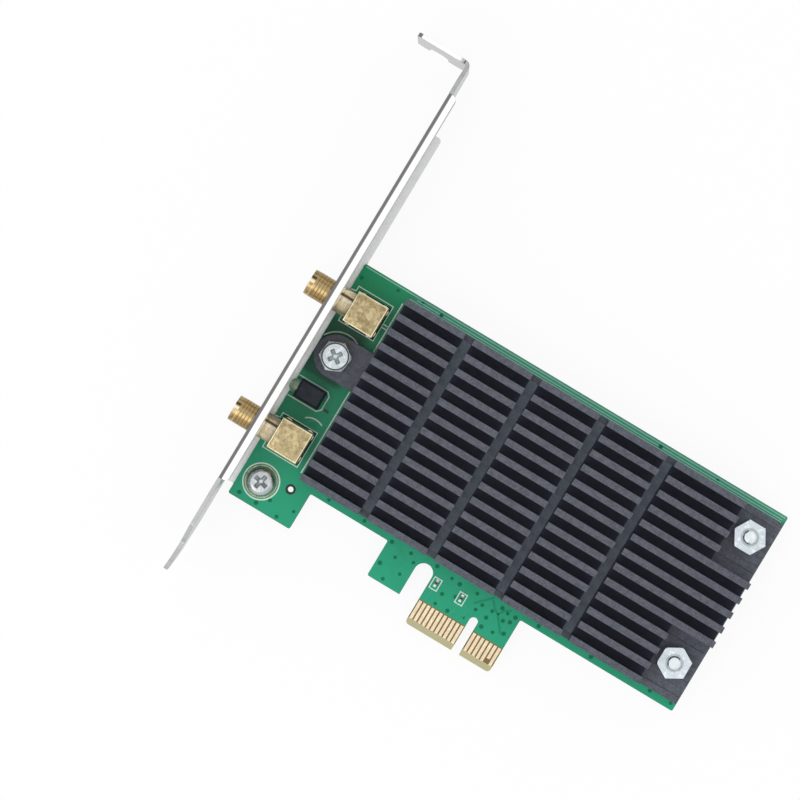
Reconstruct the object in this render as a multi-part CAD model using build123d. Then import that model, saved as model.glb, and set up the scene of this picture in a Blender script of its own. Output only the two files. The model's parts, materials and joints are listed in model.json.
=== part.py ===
from build123d import *
import os
from math import cos, radians, sqrt, tan

# PCI Express wireless card with its full-height bracket, in millimetres.
# The origin is the middle of the key notch, on the connector edge, at the solder side of the board.
# +X runs along the board away from the bracket, +Y across it away from the connector edge,
# and +Z points out of the component side.

# Circuit board outline
board_thickness = 1.57
board_left = -57.15
board_right = 44.6
board_top = 59.3
board_lower_edge = 12.7
board_corner_radius = 0.4
foot_width = 14.75
foot_bottom = 4.25
hook_left = -23.75
hook_right = -16.05
hook_bottom = 4.4
hook_slot_top = 12.75

# Edge connector
connector_left = -12.05
connector_right = 8.1
connector_corner_radius = 0.8
key_notch_width = 1.9
key_notch_top = 8.35
bevel_length = 1.35
bevel_angle = 20
contact_pitch = 1.0
contact_width = 0.7
contact_top = 5.6
contact_thickness = 0.06
contact_to_key = 1.5
contacts_left = 11
contacts_right = 7
short_contact_step = 1.1
short_contact_front = 5
short_contact_back = -11

# Screws through the board
screw_radius = 1.5
screw_clearance = 0.1
screw_tip_chamfer = 0.375
bracket_screw_inset = 4.7
bracket_screw_y = 9.7
bracket_screw_spacing = 30.0
heatsink_screw_inset = 4.8
heatsink_screw_rise = 7.2
heatsink_screw_spacing = 30.0
pan_head_radius = 3.0
pan_head_height = 1.9
pan_head_round = 1.14
recess_depth = 1.2
recess_length = 3.3
recess_width = 0.85
hex_head_flats = 6.0
hex_head_height = 2.3
hex_rim_inset = 0.09
hex_crown_angle = 30
hex_head_turn = 24
screw_tip_inset = 0.15
nut_flats = 6.35
nut_height = 2.4
nut_corner_cut = 0.22
nut_chamfer_rise = 0.13
screw_end_above_nut = 0.35

# Sheet-metal bracket
sheet = 0.86
bend_radius = 0.4
bracket_gap = 1.9
bracket_top = 104.8
bracket_length = 120.02
blade_width = 18.42
tab_reach = 11.43
tab_corner_radius = 1.6
tab_notch_width = 4.42
tab_notch_depth = 6.2
tab_notch_to_blade = 6.35
relief_depth = 1.1
relief_height = 2.0
shoulder_height = 4.1
shoulder_bend_radius = 0.86
tongue_width = 10.19
tongue_length = 6.8
tongue_taper_length = 5.2
tongue_tip_width = 5.6
tongue_tip_radius = 1.2
tongue_turn_out = 0.35
tongue_turn_length = 6.2
tongue_tip_slope = 0.1
front_flange_width = 2.15
front_flange_bottom = 6.8
front_flange_drop = 7.5
back_flange_width = 3.1
back_flange_drop = 15.4
front_flange_corner = 1.4
back_flange_corner = 0.8
ear_width = 6.6
ear_edge_distance = 3.5
ear_corner_radius = 1.2
collar_height = 1.0
collar_wall = 0.75

# Heatsink
heatsink_to_bracket_end = 11.35
heatsink_to_far_end = 0.5
heatsink_rim = 1.8
heatsink_lift = 1.6
heatsink_base = 2.5
fin_count = 13
fin_width = 1.45
fin_height = 6.0
channel_count = 4
channel_width = 2.1
channel_pitch = 16.0
first_block_length = 13.95
pocket_length = 9.1
pocket_fins = 4
pocket_ridge = 0.25
lug_width = 9.0
boss_radius = 3.4

# Antenna jacks
jack_spacing = 30.0
jack_lug_clearance = 2.55
jack_inset = 2.1
jack_block = 7.0
jack_block_height = 10.2
jack_block_chamfer = 0.25
jack_axis_height = 6.75
jack_neck_radius = 2.72
jack_neck_length = 2.6
jack_thread_radius = 3.1
jack_reach = 4.9
jack_end_chamfer = 0.35
jack_bore_radius = 2.3
jack_mouth_depth = 1.9
jack_leg_radius = 0.65
jack_leg_offset = 2.54
jack_leg_below = 1.2
jack_hole_clearance = 0.25
jack_relief_depth = 0.25
jack_relief_margin = 0.1
insulator_clearance = 0.03
contact_radius = 0.64
contact_tip_radius = 0.46
contact_tip_length = 1.5
lead_clearance = 0.1

# Indicator lamp in its right-angle holder
lamp_lug_clearance = 2.75
lamp_axis_height = 2.9
lamp_radius = 1.5
lamp_reach = 1.9
lamp_body_length = 4.0
lamp_clearance = 0.05
lamp_window_clearance = 0.15
holder_inset = 1.25
holder_length = 5.8
holder_width = 4.1
holder_height = 5.1
holder_chamfer = 0.4
holder_gate_radius = 0.4
holder_gate_depth = 0.15
lamp_lead = 0.5
lamp_lead_pitch = 2.54
lamp_lead_drop = 0.75

# Parts soldered to the board
chip_edge = 0.06
chip_capacitor = (0.5, 1.0, 0.5)
coupling_capacitor_rise = 4.7
coupling_capacitor_insets = (1.35, 7.4)
lamp_resistor = (1.0, 0.5, 0.35)
lamp_resistor_gap = 1.2
lamp_resistor_step = 1.4
radio_chip_size = 10.0
radio_chip_height = 0.9
radio_chip_place = (-6.0, 38.0)
thermal_pad_size = 12.0
amplifier_size = 4.0
amplifier_height = 0.8
amplifier_inset = 8.0
crystal_size = (3.2, 2.5, 0.8)
crystal_place = (6.5, 44.5)
regulator_size = (4.0, 4.0, 0.85)
regulator_place = (14.0, 27.0)
inductor_size = (4.0, 4.0, 1.3)
inductor_place = (20.5, 27.0)
bypass_offset = 7.4
bypass_pitch = 2.6
bypass_per_side = 4
tooling_hole_inset = 10.75
tooling_hole_rise = 7.15
tooling_hole_radius = 0.6
solder_height = 0.7
solder_foot_radius = 1.2
solder_top_radius = 0.85

# Working values
cut_margin = 1.0
tolerance = 1e-6

# Planes and places that follow from the sizes above
board_face = board_thickness
blade_inner = board_left - bracket_gap
blade_outer = blade_inner - sheet
blade_low = -sheet
blade_high = blade_low + blade_width
blade_middle = (blade_low + blade_high) / 2
outer_bend = bend_radius + sheet
tongue_tip_y = bracket_top - bracket_length
shoulder_low = tongue_tip_y + tongue_length
shoulder_y = shoulder_low + shoulder_height
heatsink_left = board_left + heatsink_to_bracket_end
heatsink_right = board_right - heatsink_to_far_end
heatsink_bottom = board_lower_edge + heatsink_rim
heatsink_top = board_top - heatsink_rim
first_channel = heatsink_left + first_block_length
pocket_left = heatsink_right - pocket_length
base_low = board_face + heatsink_lift
base_high = base_low + heatsink_base
fin_top = base_high + fin_height
fin_pitch = (heatsink_top - heatsink_bottom - fin_width) / (fin_count - 1)
ridge_top = base_high + pocket_ridge
collar_low = -sheet - collar_height
front_flange_top = bracket_top - front_flange_drop
back_flange_top = bracket_top - back_flange_drop
front_flange_edge = blade_outer + front_flange_width
back_flange_edge = blade_outer + back_flange_width
back_flange_bottom = bracket_screw_y - ear_width / 2
bracket_screw_x = board_left + bracket_screw_inset
bracket_screw_ys = (bracket_screw_y, bracket_screw_y + bracket_screw_spacing)
heatsink_screw_x = heatsink_right - heatsink_screw_inset
heatsink_screw_y = heatsink_bottom + heatsink_screw_rise
heatsink_screw_ys = (heatsink_screw_y, heatsink_screw_y + heatsink_screw_spacing)
lug_y = bracket_screw_ys[1]
lug_sides = (lug_y - lug_width / 2, lug_y + lug_width / 2)
jack_y = lug_sides[1] + jack_lug_clearance + jack_block / 2 - jack_spacing
jack_ys = (jack_y, jack_y + jack_spacing)
jack_left = board_left + jack_inset
jack_middle = jack_left + jack_block / 2
jack_axis_z = board_face + jack_axis_height
jack_tip = blade_outer - jack_reach
jack_relief = (blade_outer - jack_relief_margin, blade_inner + jack_relief_margin)
lamp_y = lug_sides[0] - lamp_lug_clearance - holder_width / 2
lamp_axis_z = board_face + lamp_axis_height
holder_left = board_left + holder_inset
lamp_base_x = holder_left + lamp_body_length
lead_x = lamp_base_x + lamp_lead_drop
lead_ys = (lamp_y - lamp_lead_pitch / 2, lamp_y + lamp_lead_pitch / 2)
lamp_resistor_x = holder_left + holder_length + lamp_resistor_gap + lamp_resistor[0] / 2
lamp_resistor_place = (lamp_resistor_x, lamp_y - lamp_resistor_step)
coupling_capacitor_y = contact_top + coupling_capacitor_rise
coupling_places = [(connector_left + inset, coupling_capacitor_y) for inset in coupling_capacitor_insets]
tooling_hole = (board_left + tooling_hole_inset, foot_bottom + tooling_hole_rise)


def block(x_range, y_range, z_range):
    """A box between two values on each axis."""
    sides = [high - low for low, high in (x_range, y_range, z_range)]
    middle = [(low + high) / 2 for low, high in (x_range, y_range, z_range)]
    return Pos(*middle) * Box(*sides)


def post(radius, x, y, low, high):
    """A round bar that stands on the board."""
    return Pos(x, y, (low + high) / 2) * Cylinder(radius, high - low)


def bar(radius, left, right, y, z):
    """A round bar that lies along X."""
    return Pos((left + right) / 2, y, z) * Rot(0, 90, 0) * Cylinder(radius, right - left)


def chip(size, place):
    """A component body with softened top edges, soldered to the board at its middle."""
    length, width, height = size
    body = Box(length, width, height)
    body = chamfer(body.faces().sort_by(Axis.Z)[-1].edges(), chip_edge)
    return Pos(place[0], place[1], board_face + height / 2) * body


def contact_columns():
    """Numbers of the contacts, negative on the left of the key, with their places along X."""
    left = [(-n, -contact_to_key - (n - 1) * contact_pitch) for n in range(1, contacts_left + 1)]
    right = [(n, contact_to_key + n * contact_pitch) for n in range(contacts_right)]
    return left + right


def jack_leg_places(y):
    """Places of the four legs under a jack's block."""
    offsets = (-jack_leg_offset, jack_leg_offset)
    return [(jack_middle + dx, y + dy) for dx in offsets for dy in offsets]


def board_outline():
    """Outline of the board: foot, hook, retention slot, connector tongues and key notch."""
    foot_right = board_left + foot_width
    slot_radius = (connector_left - hook_right) / 2
    notch_radius = key_notch_width / 2
    points = [
        (board_left, board_top),
        (board_left, foot_bottom),
        (foot_right, foot_bottom),
        (foot_right, board_lower_edge),
        (hook_left, board_lower_edge),
        (hook_left, hook_bottom),
        (connector_left, hook_bottom),
        (connector_left, 0),
        (connector_right, 0),
        (connector_right, board_lower_edge),
        (board_right, board_lower_edge),
        (board_right, board_top),
    ]
    outline = Polygon(*points, align=None)
    others = [v for v in outline.vertices() if v.Y > tolerance and abs(v.X - connector_left) > tolerance]
    outline = fillet(others, board_corner_radius)
    connector_ends = [v for v in outline.vertices() if v.Y < tolerance]
    outline = fillet(connector_ends, connector_corner_radius)
    slot_middle = (hook_right + connector_left) / 2
    slot_centre_y = hook_slot_top - slot_radius
    slot = Pos(slot_middle, slot_centre_y) * Circle(slot_radius)
    slot += Pos(slot_middle, slot_centre_y / 2) * Rectangle(2 * slot_radius, slot_centre_y)
    notch_centre_y = key_notch_top - notch_radius
    notch = Pos(0, notch_centre_y) * Circle(notch_radius)
    notch += Pos(0, notch_centre_y / 2) * Rectangle(key_notch_width, notch_centre_y)
    return outline - slot - notch


def circuit_board():
    """The laminate with its holes and the bevel along the connector edge."""
    board = extrude(board_outline(), board_thickness)
    hole = screw_radius + screw_clearance
    for y in bracket_screw_ys:
        board -= post(hole, bracket_screw_x, y, 0, board_thickness)
    for y in heatsink_screw_ys:
        board -= post(hole, heatsink_screw_x, y, 0, board_thickness)
    for y in jack_ys:
        for x, leg_y in jack_leg_places(y):
            board -= post(jack_leg_radius + lead_clearance, x, leg_y, 0, board_thickness)
        board -= post(contact_radius + lead_clearance, jack_middle, y, 0, board_thickness)
    for y in lead_ys:
        board -= post(lamp_lead / sqrt(2) + lead_clearance, lead_x, y, 0, board_thickness)
    board -= post(tooling_hole_radius, *tooling_hole, 0, board_thickness)
    bevel_step = bevel_length * tan(radians(bevel_angle))
    wedge = Polygon((0, 0), (bevel_length, 0), (0, bevel_step), align=None)
    span = connector_right - connector_left
    lower = Pos(connector_left, 0, 0) * extrude(Plane.YZ * wedge, span)
    board -= lower
    board -= mirror(lower, Plane.XY.offset(board_thickness / 2))
    return board


def edge_contacts(low, high, short_one):
    """The row of contact strips on one face, with the presence contact set back."""
    half = contact_width / 2
    strips = []
    for number, x in contact_columns():
        start = bevel_length + (short_contact_step if number == short_one else 0)
        strips.append(block((x - half, x + half), (start, contact_top), (low, high)))
    return strips


def blade_outline():
    """Flat form of the blade with its shoulders and tongue, drawn as Z across and Y along."""
    half_blade = blade_width / 2
    half_tongue = tongue_width / 2
    half_tip = tongue_tip_width / 2
    taper_y = tongue_tip_y + tongue_taper_length
    neck = half_blade - relief_depth
    relief_top = bracket_top - outer_bend
    relief_low = relief_top - relief_height
    right_side = [
        (half_tip, tongue_tip_y),
        (half_tongue, taper_y),
        (half_tongue, shoulder_low),
        (half_blade, shoulder_y),
        (half_blade, relief_low),
        (neck, relief_low),
        (neck, relief_top),
    ]
    left_side = [(-z, y) for z, y in reversed(right_side)]
    outline = Polygon(*right_side, *left_side, align=None)
    corners = outline.vertices()
    tip = [v for v in corners if abs(v.Y - tongue_tip_y) < tolerance]
    outline = fillet(tip, tongue_tip_radius)
    bends = [v for v in outline.vertices() if shoulder_low - tolerance < v.Y < shoulder_y + tolerance]
    return fillet(bends, shoulder_bend_radius)


def blade():
    """The flat sheet and its tongue, whose tip turns out a little, away from the board."""
    sketch = Plane(origin=(blade_inner + cut_margin, 0, blade_middle), x_dir=(0, 0, 1), z_dir=(-1, 0, 0))
    flat = extrude(sketch * blade_outline(), sheet + tongue_turn_out + 2 * cut_margin)
    root_y = tongue_tip_y + tongue_turn_length
    top_y = bracket_top - outer_bend
    ends = [(blade_outer, root_y), (blade_outer - tongue_turn_out, tongue_tip_y)]
    outer_edge = Spline(*ends, tangents=[(0, -1), (-tongue_tip_slope, -1)])
    inner_edge = Pos(sheet, 0) * outer_edge
    top = Polyline((blade_outer, root_y), (blade_outer, top_y), (blade_inner, top_y), (blade_inner, root_y))
    tip = Line(outer_edge @ 1, inner_edge @ 1)
    side_view = make_face(outer_edge.edges() + inner_edge.edges() + top.edges() + tip.edges())
    return flat & extrude(Plane.XY.offset(blade_low) * side_view, blade_width, dir=(0, 0, 1))


def channel_profile(front, back):
    """Section of the blade with a flange folded from one or both of its long edges."""
    section = Pos(blade_outer + sheet / 2, blade_middle) * Rectangle(sheet, blade_width)
    folds = ((front, front_flange_edge, blade_high, -1), (back, back_flange_edge, blade_low, 1))
    for present, reach, edge_z, inward in folds:
        if not present:
            continue
        centre_x = blade_outer + outer_bend
        centre_z = edge_z + inward * outer_bend
        square = Rectangle(outer_bend, outer_bend)
        quarter = Pos(centre_x - outer_bend / 2, (centre_z + edge_z) / 2) * square
        ring = Pos(centre_x, centre_z) * (Circle(outer_bend) - Circle(bend_radius))
        flat = Pos((centre_x + reach) / 2, edge_z + inward * sheet / 2) * Rectangle(reach - centre_x, sheet)
        section = (section - quarter) + (ring & quarter) + flat
    return section


def channel(front, back, low_y, high_y):
    """A length of the folded blade."""
    plane = Plane(origin=(0, low_y, 0), x_dir=(1, 0, 0), z_dir=(0, -1, 0))
    return extrude(plane * channel_profile(front, back), -(high_y - low_y))


def corner_waste(edge_x, end_y, end, radius, z_range):
    """What is cut away to round a flange's free corner; end is 1 at its top and -1 at its bottom."""
    centre_x = edge_x - radius
    centre_y = end_y - end * radius
    corner = block((centre_x, edge_x), sorted((centre_y, end_y)), z_range)
    return corner - post(radius, centre_x, centre_y, *z_range)


def ear(y):
    """A tongue of the back flange under the board, with an extruded and tapped collar."""
    right = bracket_screw_x + ear_edge_distance
    left = blade_outer + outer_bend
    plate = Pos((left + right) / 2, y) * Rectangle(right - left, ear_width)
    outer_corners = plate.vertices().sort_by(Axis.X)[-2:]
    plate = fillet(outer_corners, ear_corner_radius)
    tongue = extrude(Pos(0, 0, -sheet) * plate, sheet)
    collar_radius = screw_radius + screw_clearance + collar_wall
    tongue += post(collar_radius, bracket_screw_x, y, collar_low, -sheet / 2)
    return tongue - post(screw_radius + screw_clearance, bracket_screw_x, y, collar_low, 0)


def tab():
    """The top fold that screws to the case, with its open screw notch."""
    turn_x = blade_inner - outer_bend
    turn_y = bracket_top - outer_bend
    end_x = blade_outer - tab_reach
    ring = Pos(turn_x, turn_y) * (Circle(outer_bend) - Circle(bend_radius))
    square = Rectangle(outer_bend, outer_bend)
    corner = ring & Pos(turn_x + outer_bend / 2, turn_y + outer_bend / 2) * square
    neck = blade_width - 2 * relief_depth
    fold = extrude(Plane.XY.offset(blade_low + relief_depth) * corner, neck)
    plate_sketch = Pos((turn_x + end_x) / 2, blade_middle) * Rectangle(turn_x - end_x, blade_width)
    plate_sketch = fillet(plate_sketch.vertices(), tab_corner_radius)
    notch_x = blade_outer - tab_notch_to_blade
    notch_radius = tab_notch_width / 2
    notch_end = blade_low + tab_notch_depth - notch_radius
    notch = Pos(notch_x, notch_end) * Circle(notch_radius)
    notch += Pos(notch_x, (notch_end + blade_low) / 2) * Rectangle(tab_notch_width, notch_end - blade_low)
    plane = Plane(origin=(0, bracket_top, 0), x_dir=(1, 0, 0), z_dir=(0, -1, 0))
    return fold + extrude(plane * (plate_sketch - notch), sheet)


def bracket():
    """The full-height bracket, folded from one sheet."""
    both_low = max(front_flange_bottom, back_flange_bottom)
    both_high = min(front_flange_top, back_flange_top)
    through = (blade_outer - cut_margin, blade_inner + cut_margin)
    body = blade()
    body -= block(through, (both_low, both_high), (blade_low, blade_high))
    body += channel(True, True, both_low, both_high)
    upper = (both_high, front_flange_top)
    body -= block(through, upper, (blade_middle, blade_high))
    body += channel(True, False, *upper) & block((blade_outer, 0), upper, (blade_middle, blade_high))
    front_z = (blade_middle, blade_high)
    back_z = (blade_low, 0)
    body -= corner_waste(front_flange_edge, front_flange_top, 1, front_flange_corner, front_z)
    body -= corner_waste(front_flange_edge, front_flange_bottom, -1, front_flange_corner, front_z)
    body -= corner_waste(back_flange_edge, back_flange_top, 1, back_flange_corner, back_z)
    body += tab()
    for y in bracket_screw_ys:
        body += ear(y)
    for y in jack_ys:
        hole = jack_thread_radius + jack_hole_clearance
        body -= bar(hole, blade_outer, blade_inner, y, jack_axis_z)
    window = lamp_radius + lamp_window_clearance
    body -= bar(window, blade_outer, blade_inner, lamp_y, lamp_axis_z)
    return body


def heatsink_hole_places():
    """Places of the heatsink's three screws."""
    pair = [(heatsink_screw_x, y) for y in heatsink_screw_ys]
    return pair + [(bracket_screw_x, lug_y)]


def heatsink():
    """Finned block with four cross channels, two corner pockets, a lug and three feet."""
    base = (base_low, base_high)
    body = block((heatsink_left, heatsink_right), (heatsink_bottom, heatsink_top), base)
    body += block((bracket_screw_x, heatsink_left), lug_sides, base)
    body += post(lug_width / 2, bracket_screw_x, lug_y, *base)
    channels = [first_channel + n * channel_pitch for n in range(channel_count)]
    starts = [heatsink_left] + [x + channel_width for x in channels]
    ends = channels + [heatsink_right]
    for row in range(fin_count):
        low_y = heatsink_bottom + row * fin_pitch
        sides = (low_y, low_y + fin_width)
        in_pocket = row < pocket_fins or row >= fin_count - pocket_fins
        for start, end in zip(starts, ends):
            stop = min(end, pocket_left) if in_pocket else end
            body += block((start, stop), sides, (base_high, fin_top))
        if in_pocket:
            body += block((pocket_left, heatsink_right), sides, (base_high, ridge_top))
    for x, y in heatsink_hole_places():
        body += post(boss_radius, x, y, board_face, base_low)
    for x, y in heatsink_hole_places():
        body -= post(screw_radius + screw_clearance, x, y, board_face, ridge_top)
    return body


def cross_recess(top_z):
    """Cross recess for a screwdriver, narrowing with depth, cut down from the given height."""
    cross = Box(recess_length, recess_width, recess_depth) + Box(recess_width, recess_length, recess_depth)
    cone = Cone(recess_width / 2, recess_length / 2, recess_depth)
    return Pos(0, 0, top_z - recess_depth / 2) * (cross & cone)


def pan_head():
    """Domed round head with its cross recess, standing on Z = 0."""
    head = Pos(0, 0, pan_head_height / 2) * Cylinder(pan_head_radius, pan_head_height)
    head = fillet(head.edges().filter_by(GeomType.CIRCLE).sort_by(Axis.Z)[-1], pan_head_round)
    return head - cross_recess(pan_head_height)


def hexagon_prism(flats, height):
    """Six-sided bar, standing on Z = 0, with corners along X."""
    return extrude(RegularPolygon(flats / 2, 6, major_radius=False), height)


def hex_head():
    """Six-sided head with a turned top and a cross recess, standing on Z = 0."""
    rim = hex_head_flats / 2 - hex_rim_inset
    spread = hex_head_height / tan(radians(hex_crown_angle))
    crown = Pos(0, 0, hex_head_height / 2) * Cone(rim + spread, rim, hex_head_height)
    return (hexagon_prism(hex_head_flats, hex_head_height) & crown) - cross_recess(hex_head_height)


def shank(low, high, tip_down):
    """Screw shank with a chamfered tip."""
    stem = Pos(0, 0, (low + high) / 2) * Cylinder(screw_radius, high - low)
    ends = stem.edges().filter_by(GeomType.CIRCLE).sort_by(Axis.Z)
    return chamfer(ends[0] if tip_down else ends[-1], screw_tip_chamfer)


def board_screw():
    """Screw through the board into the bracket's lower ear."""
    place = Pos(bracket_screw_x, bracket_screw_ys[0])
    head = Pos(0, 0, board_face) * Rot(0, 0, 45) * pan_head()
    return place * (head + shank(collar_low + screw_tip_inset, board_face, True))


def lug_screw():
    """Screw through the heatsink's lug and the board into the bracket's upper ear."""
    place = Pos(bracket_screw_x, lug_y)
    head = Pos(0, 0, base_high) * Rot(0, 0, hex_head_turn) * hex_head()
    return place * (head + shank(collar_low + screw_tip_inset, base_high, True))


def heatsink_screw(y):
    """Screw from the solder side up through the board and the heatsink's foot."""
    head = Rot(180, 0, 0) * pan_head()
    end = ridge_top + nut_height + screw_end_above_nut
    return Pos(heatsink_screw_x, y) * (head + shank(0, end, False))


def heatsink_nut(y, turn):
    """Six-sided nut, its corners turned off at both faces, on the ridges of a corner pocket."""
    corner = nut_flats / 2 / cos(radians(30))
    radius = corner - nut_corner_cut
    shoulders = [(corner, nut_chamfer_rise), (corner, nut_height - nut_chamfer_rise)]
    half = Polygon((0, 0), (radius, 0), *shoulders, (radius, nut_height), (0, nut_height), align=None)
    turned = revolve(Plane.XZ * half, Axis.Z)
    nut = hexagon_prism(nut_flats, nut_height) & turned
    bore = Pos(0, 0, nut_height / 2) * Cylinder(screw_radius + screw_clearance, nut_height)
    return Pos(heatsink_screw_x, y, ridge_top) * Rot(0, 0, turn) * (nut - bore)


def jack_turned_profile():
    """Half section of a jack's neck and barrel, with the relief where the bracket's sheet lies."""
    neck_end = jack_left - jack_neck_length
    relief_start, relief_end = jack_relief
    relief_radius = jack_thread_radius - jack_relief_depth
    chamfered_radius = jack_thread_radius - jack_end_chamfer
    points = [
        (jack_tip, 0),
        (jack_middle, 0),
        (jack_middle, jack_neck_radius),
        (neck_end, jack_neck_radius),
        (neck_end, chamfered_radius),
        (neck_end - jack_end_chamfer, jack_thread_radius),
        (relief_end, jack_thread_radius),
        (relief_end, relief_radius),
        (relief_start, relief_radius),
        (relief_start, jack_thread_radius),
        (jack_tip + jack_end_chamfer, jack_thread_radius),
        (jack_tip, chamfered_radius),
    ]
    return Polygon(*points, align=None)


def jack_shell(y):
    """Turned and milled shell of an antenna jack: block, neck, threaded barrel and four legs."""
    body = Box(jack_block, jack_block, jack_block_height)
    body = chamfer(body.faces().sort_by(Axis.Z)[-1].edges(), jack_block_chamfer)
    body = Pos(jack_middle, y, board_face + jack_block_height / 2) * body
    body += Pos(0, y, jack_axis_z) * revolve(jack_turned_profile(), Axis.X)
    for x, leg_y in jack_leg_places(y):
        body += post(jack_leg_radius, x, leg_y, -jack_leg_below, board_face)
    body -= bar(jack_bore_radius, jack_tip, jack_middle + jack_bore_radius, y, jack_axis_z)
    body -= post(jack_bore_radius, jack_middle, y, board_face, jack_axis_z)
    return body


def jack_insulator(y):
    """Insulator that fills the bore behind the open mouth and holds the centre contact."""
    radius = jack_bore_radius - insulator_clearance
    start = jack_tip + jack_mouth_depth
    body = bar(radius, start, jack_middle + radius, y, jack_axis_z)
    body += post(radius, jack_middle, y, board_face, jack_axis_z)
    bore = contact_radius + insulator_clearance
    body -= bar(bore, start, jack_middle, y, jack_axis_z)
    body -= post(bore, jack_middle, y, board_face, jack_axis_z)
    return body - Pos(jack_middle, y, jack_axis_z) * Sphere(bore)


def jack_contact(y):
    """Centre contact: a pin in the mouth that turns down through the board."""
    tip_end = jack_tip + contact_tip_length
    pin = bar(contact_radius, tip_end, jack_middle, y, jack_axis_z)
    pin += bar(contact_tip_radius, jack_tip + jack_end_chamfer, tip_end, y, jack_axis_z)
    pin += post(contact_radius, jack_middle, y, -jack_leg_below, jack_axis_z)
    return pin + Pos(jack_middle, y, jack_axis_z) * Sphere(contact_radius)


def lamp_holder():
    """Black right-angle holder, bored for the lamp and open below for its leads."""
    body = Box(holder_length, holder_width, holder_height)
    top_edges = body.faces().sort_by(Axis.Z)[-1].edges()
    body = chamfer(top_edges, holder_chamfer)
    middle_x = holder_left + holder_length / 2
    body = Pos(middle_x, lamp_y, board_face + holder_height / 2) * body
    bore = lamp_radius + lamp_clearance
    body -= bar(bore, holder_left, lamp_base_x + lamp_clearance, lamp_y, lamp_axis_z)
    lead_room = lamp_lead / 2 + lead_clearance
    for y in lead_ys:
        sides = (y - lead_room, y + lead_room)
        body -= block((lamp_base_x, lead_x + lead_room), sides, (board_face, lamp_axis_z + lead_room))
    top = board_face + holder_height
    return body - post(holder_gate_radius, middle_x, lamp_y, top - holder_gate_depth, top)


def lamp():
    """Round lamp body with a domed end that looks through the bracket."""
    dome_x = holder_left - lamp_reach + lamp_radius
    body = bar(lamp_radius, dome_x, lamp_base_x, lamp_y, lamp_axis_z)
    return body + Pos(dome_x, lamp_y, lamp_axis_z) * Sphere(lamp_radius)


def lamp_leads():
    """Two square wires from the back of the lamp down through the board."""
    half = lamp_lead / 2
    leads = []
    for y in lead_ys:
        sides = (y - half, y + half)
        wire = block((lamp_base_x, lead_x + half), sides, (lamp_axis_z - half, lamp_axis_z + half))
        wire += block((lead_x - half, lead_x + half), sides, (-jack_leg_below, lamp_axis_z))
        leads.append(wire)
    return leads


def bypass_capacitors():
    """Small capacitors in a row on two sides of the radio chip."""
    first = -(bypass_per_side - 1) / 2
    x, y = radio_chip_place
    columns = (x - bypass_offset, x + bypass_offset)
    rows = [y + (first + n) * bypass_pitch for n in range(bypass_per_side)]
    return [chip(chip_capacitor, (column, row)) for column in columns for row in rows]


def solder_joint(radius, x, y):
    """A ring of solder round a lead on the solder side."""
    cone = Pos(x, y, -solder_height / 2) * Cone(solder_top_radius, solder_foot_radius, solder_height)
    return cone - post(radius, x, y, -solder_height, 0)


def solder_joints():
    """Solder on the legs and centre contacts of both jacks."""
    joints = []
    for y in jack_ys:
        joints += [solder_joint(jack_leg_radius, *place) for place in jack_leg_places(y)]
        joints.append(solder_joint(contact_radius, jack_middle, y))
    return joints


def save(name, shape):
    """Write one node, either a solid or a group of separate solids."""
    if isinstance(shape, list):
        shape = Compound(children=[Part() + piece for piece in shape])
    shape.label = name
    export_step(shape, os.path.join("parts", name + ".step"))


os.makedirs("parts", exist_ok=True)

save("circuit_board", circuit_board())
save("edge_contacts_front", edge_contacts(board_face, board_face + contact_thickness, short_contact_front))
save("edge_contacts_back", edge_contacts(-contact_thickness, 0, short_contact_back))
save("bracket", bracket())
save("heatsink", heatsink())
save("board_screw", board_screw())
save("lug_screw", lug_screw())
for place, y, turn in zip(("lower", "upper"), heatsink_screw_ys, (30, 0)):
    save("heatsink_screw_" + place, heatsink_screw(y))
    save("heatsink_nut_" + place, heatsink_nut(y, turn))
for place, y in zip(("lower", "upper"), jack_ys):
    save("antenna_jack_" + place, jack_shell(y))
    save("jack_insulator_" + place, jack_insulator(y))
    save("jack_contact_" + place, jack_contact(y))
    amplifier_place = (heatsink_left + amplifier_inset, y)
    save("amplifier_" + place, chip((amplifier_size, amplifier_size, amplifier_height), amplifier_place))
save("lamp_holder", lamp_holder())
save("lamp", lamp())
save("lamp_leads", lamp_leads())
save("lamp_resistor", chip(lamp_resistor, lamp_resistor_place))
save("coupling_capacitors", [chip(chip_capacitor, place) for place in coupling_places])
radio_size = (radio_chip_size, radio_chip_size, radio_chip_height)
save("radio_chip", chip(radio_size, radio_chip_place))
pad_half = thermal_pad_size / 2
pad_x, pad_y = radio_chip_place
pad_sides = ((pad_x - pad_half, pad_x + pad_half), (pad_y - pad_half, pad_y + pad_half))
save("thermal_pad", block(*pad_sides, (board_face + radio_chip_height, base_low)))
save("crystal", chip(crystal_size, crystal_place))
save("regulator", chip(regulator_size, regulator_place))
save("power_inductor", chip(inductor_size, inductor_place))
save("bypass_capacitors", bypass_capacitors())
save("solder_joints", solder_joints())
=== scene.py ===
"""Dresses the wireless card: finishes, board artwork, threads, floor, light and camera.

Lengths are in millimetres unless a docstring says metres.
"""

import json
import logging
import math
from dataclasses import dataclass, field
from enum import Enum

import bmesh
import bpy
from mathutils import Matrix, Vector

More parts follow.
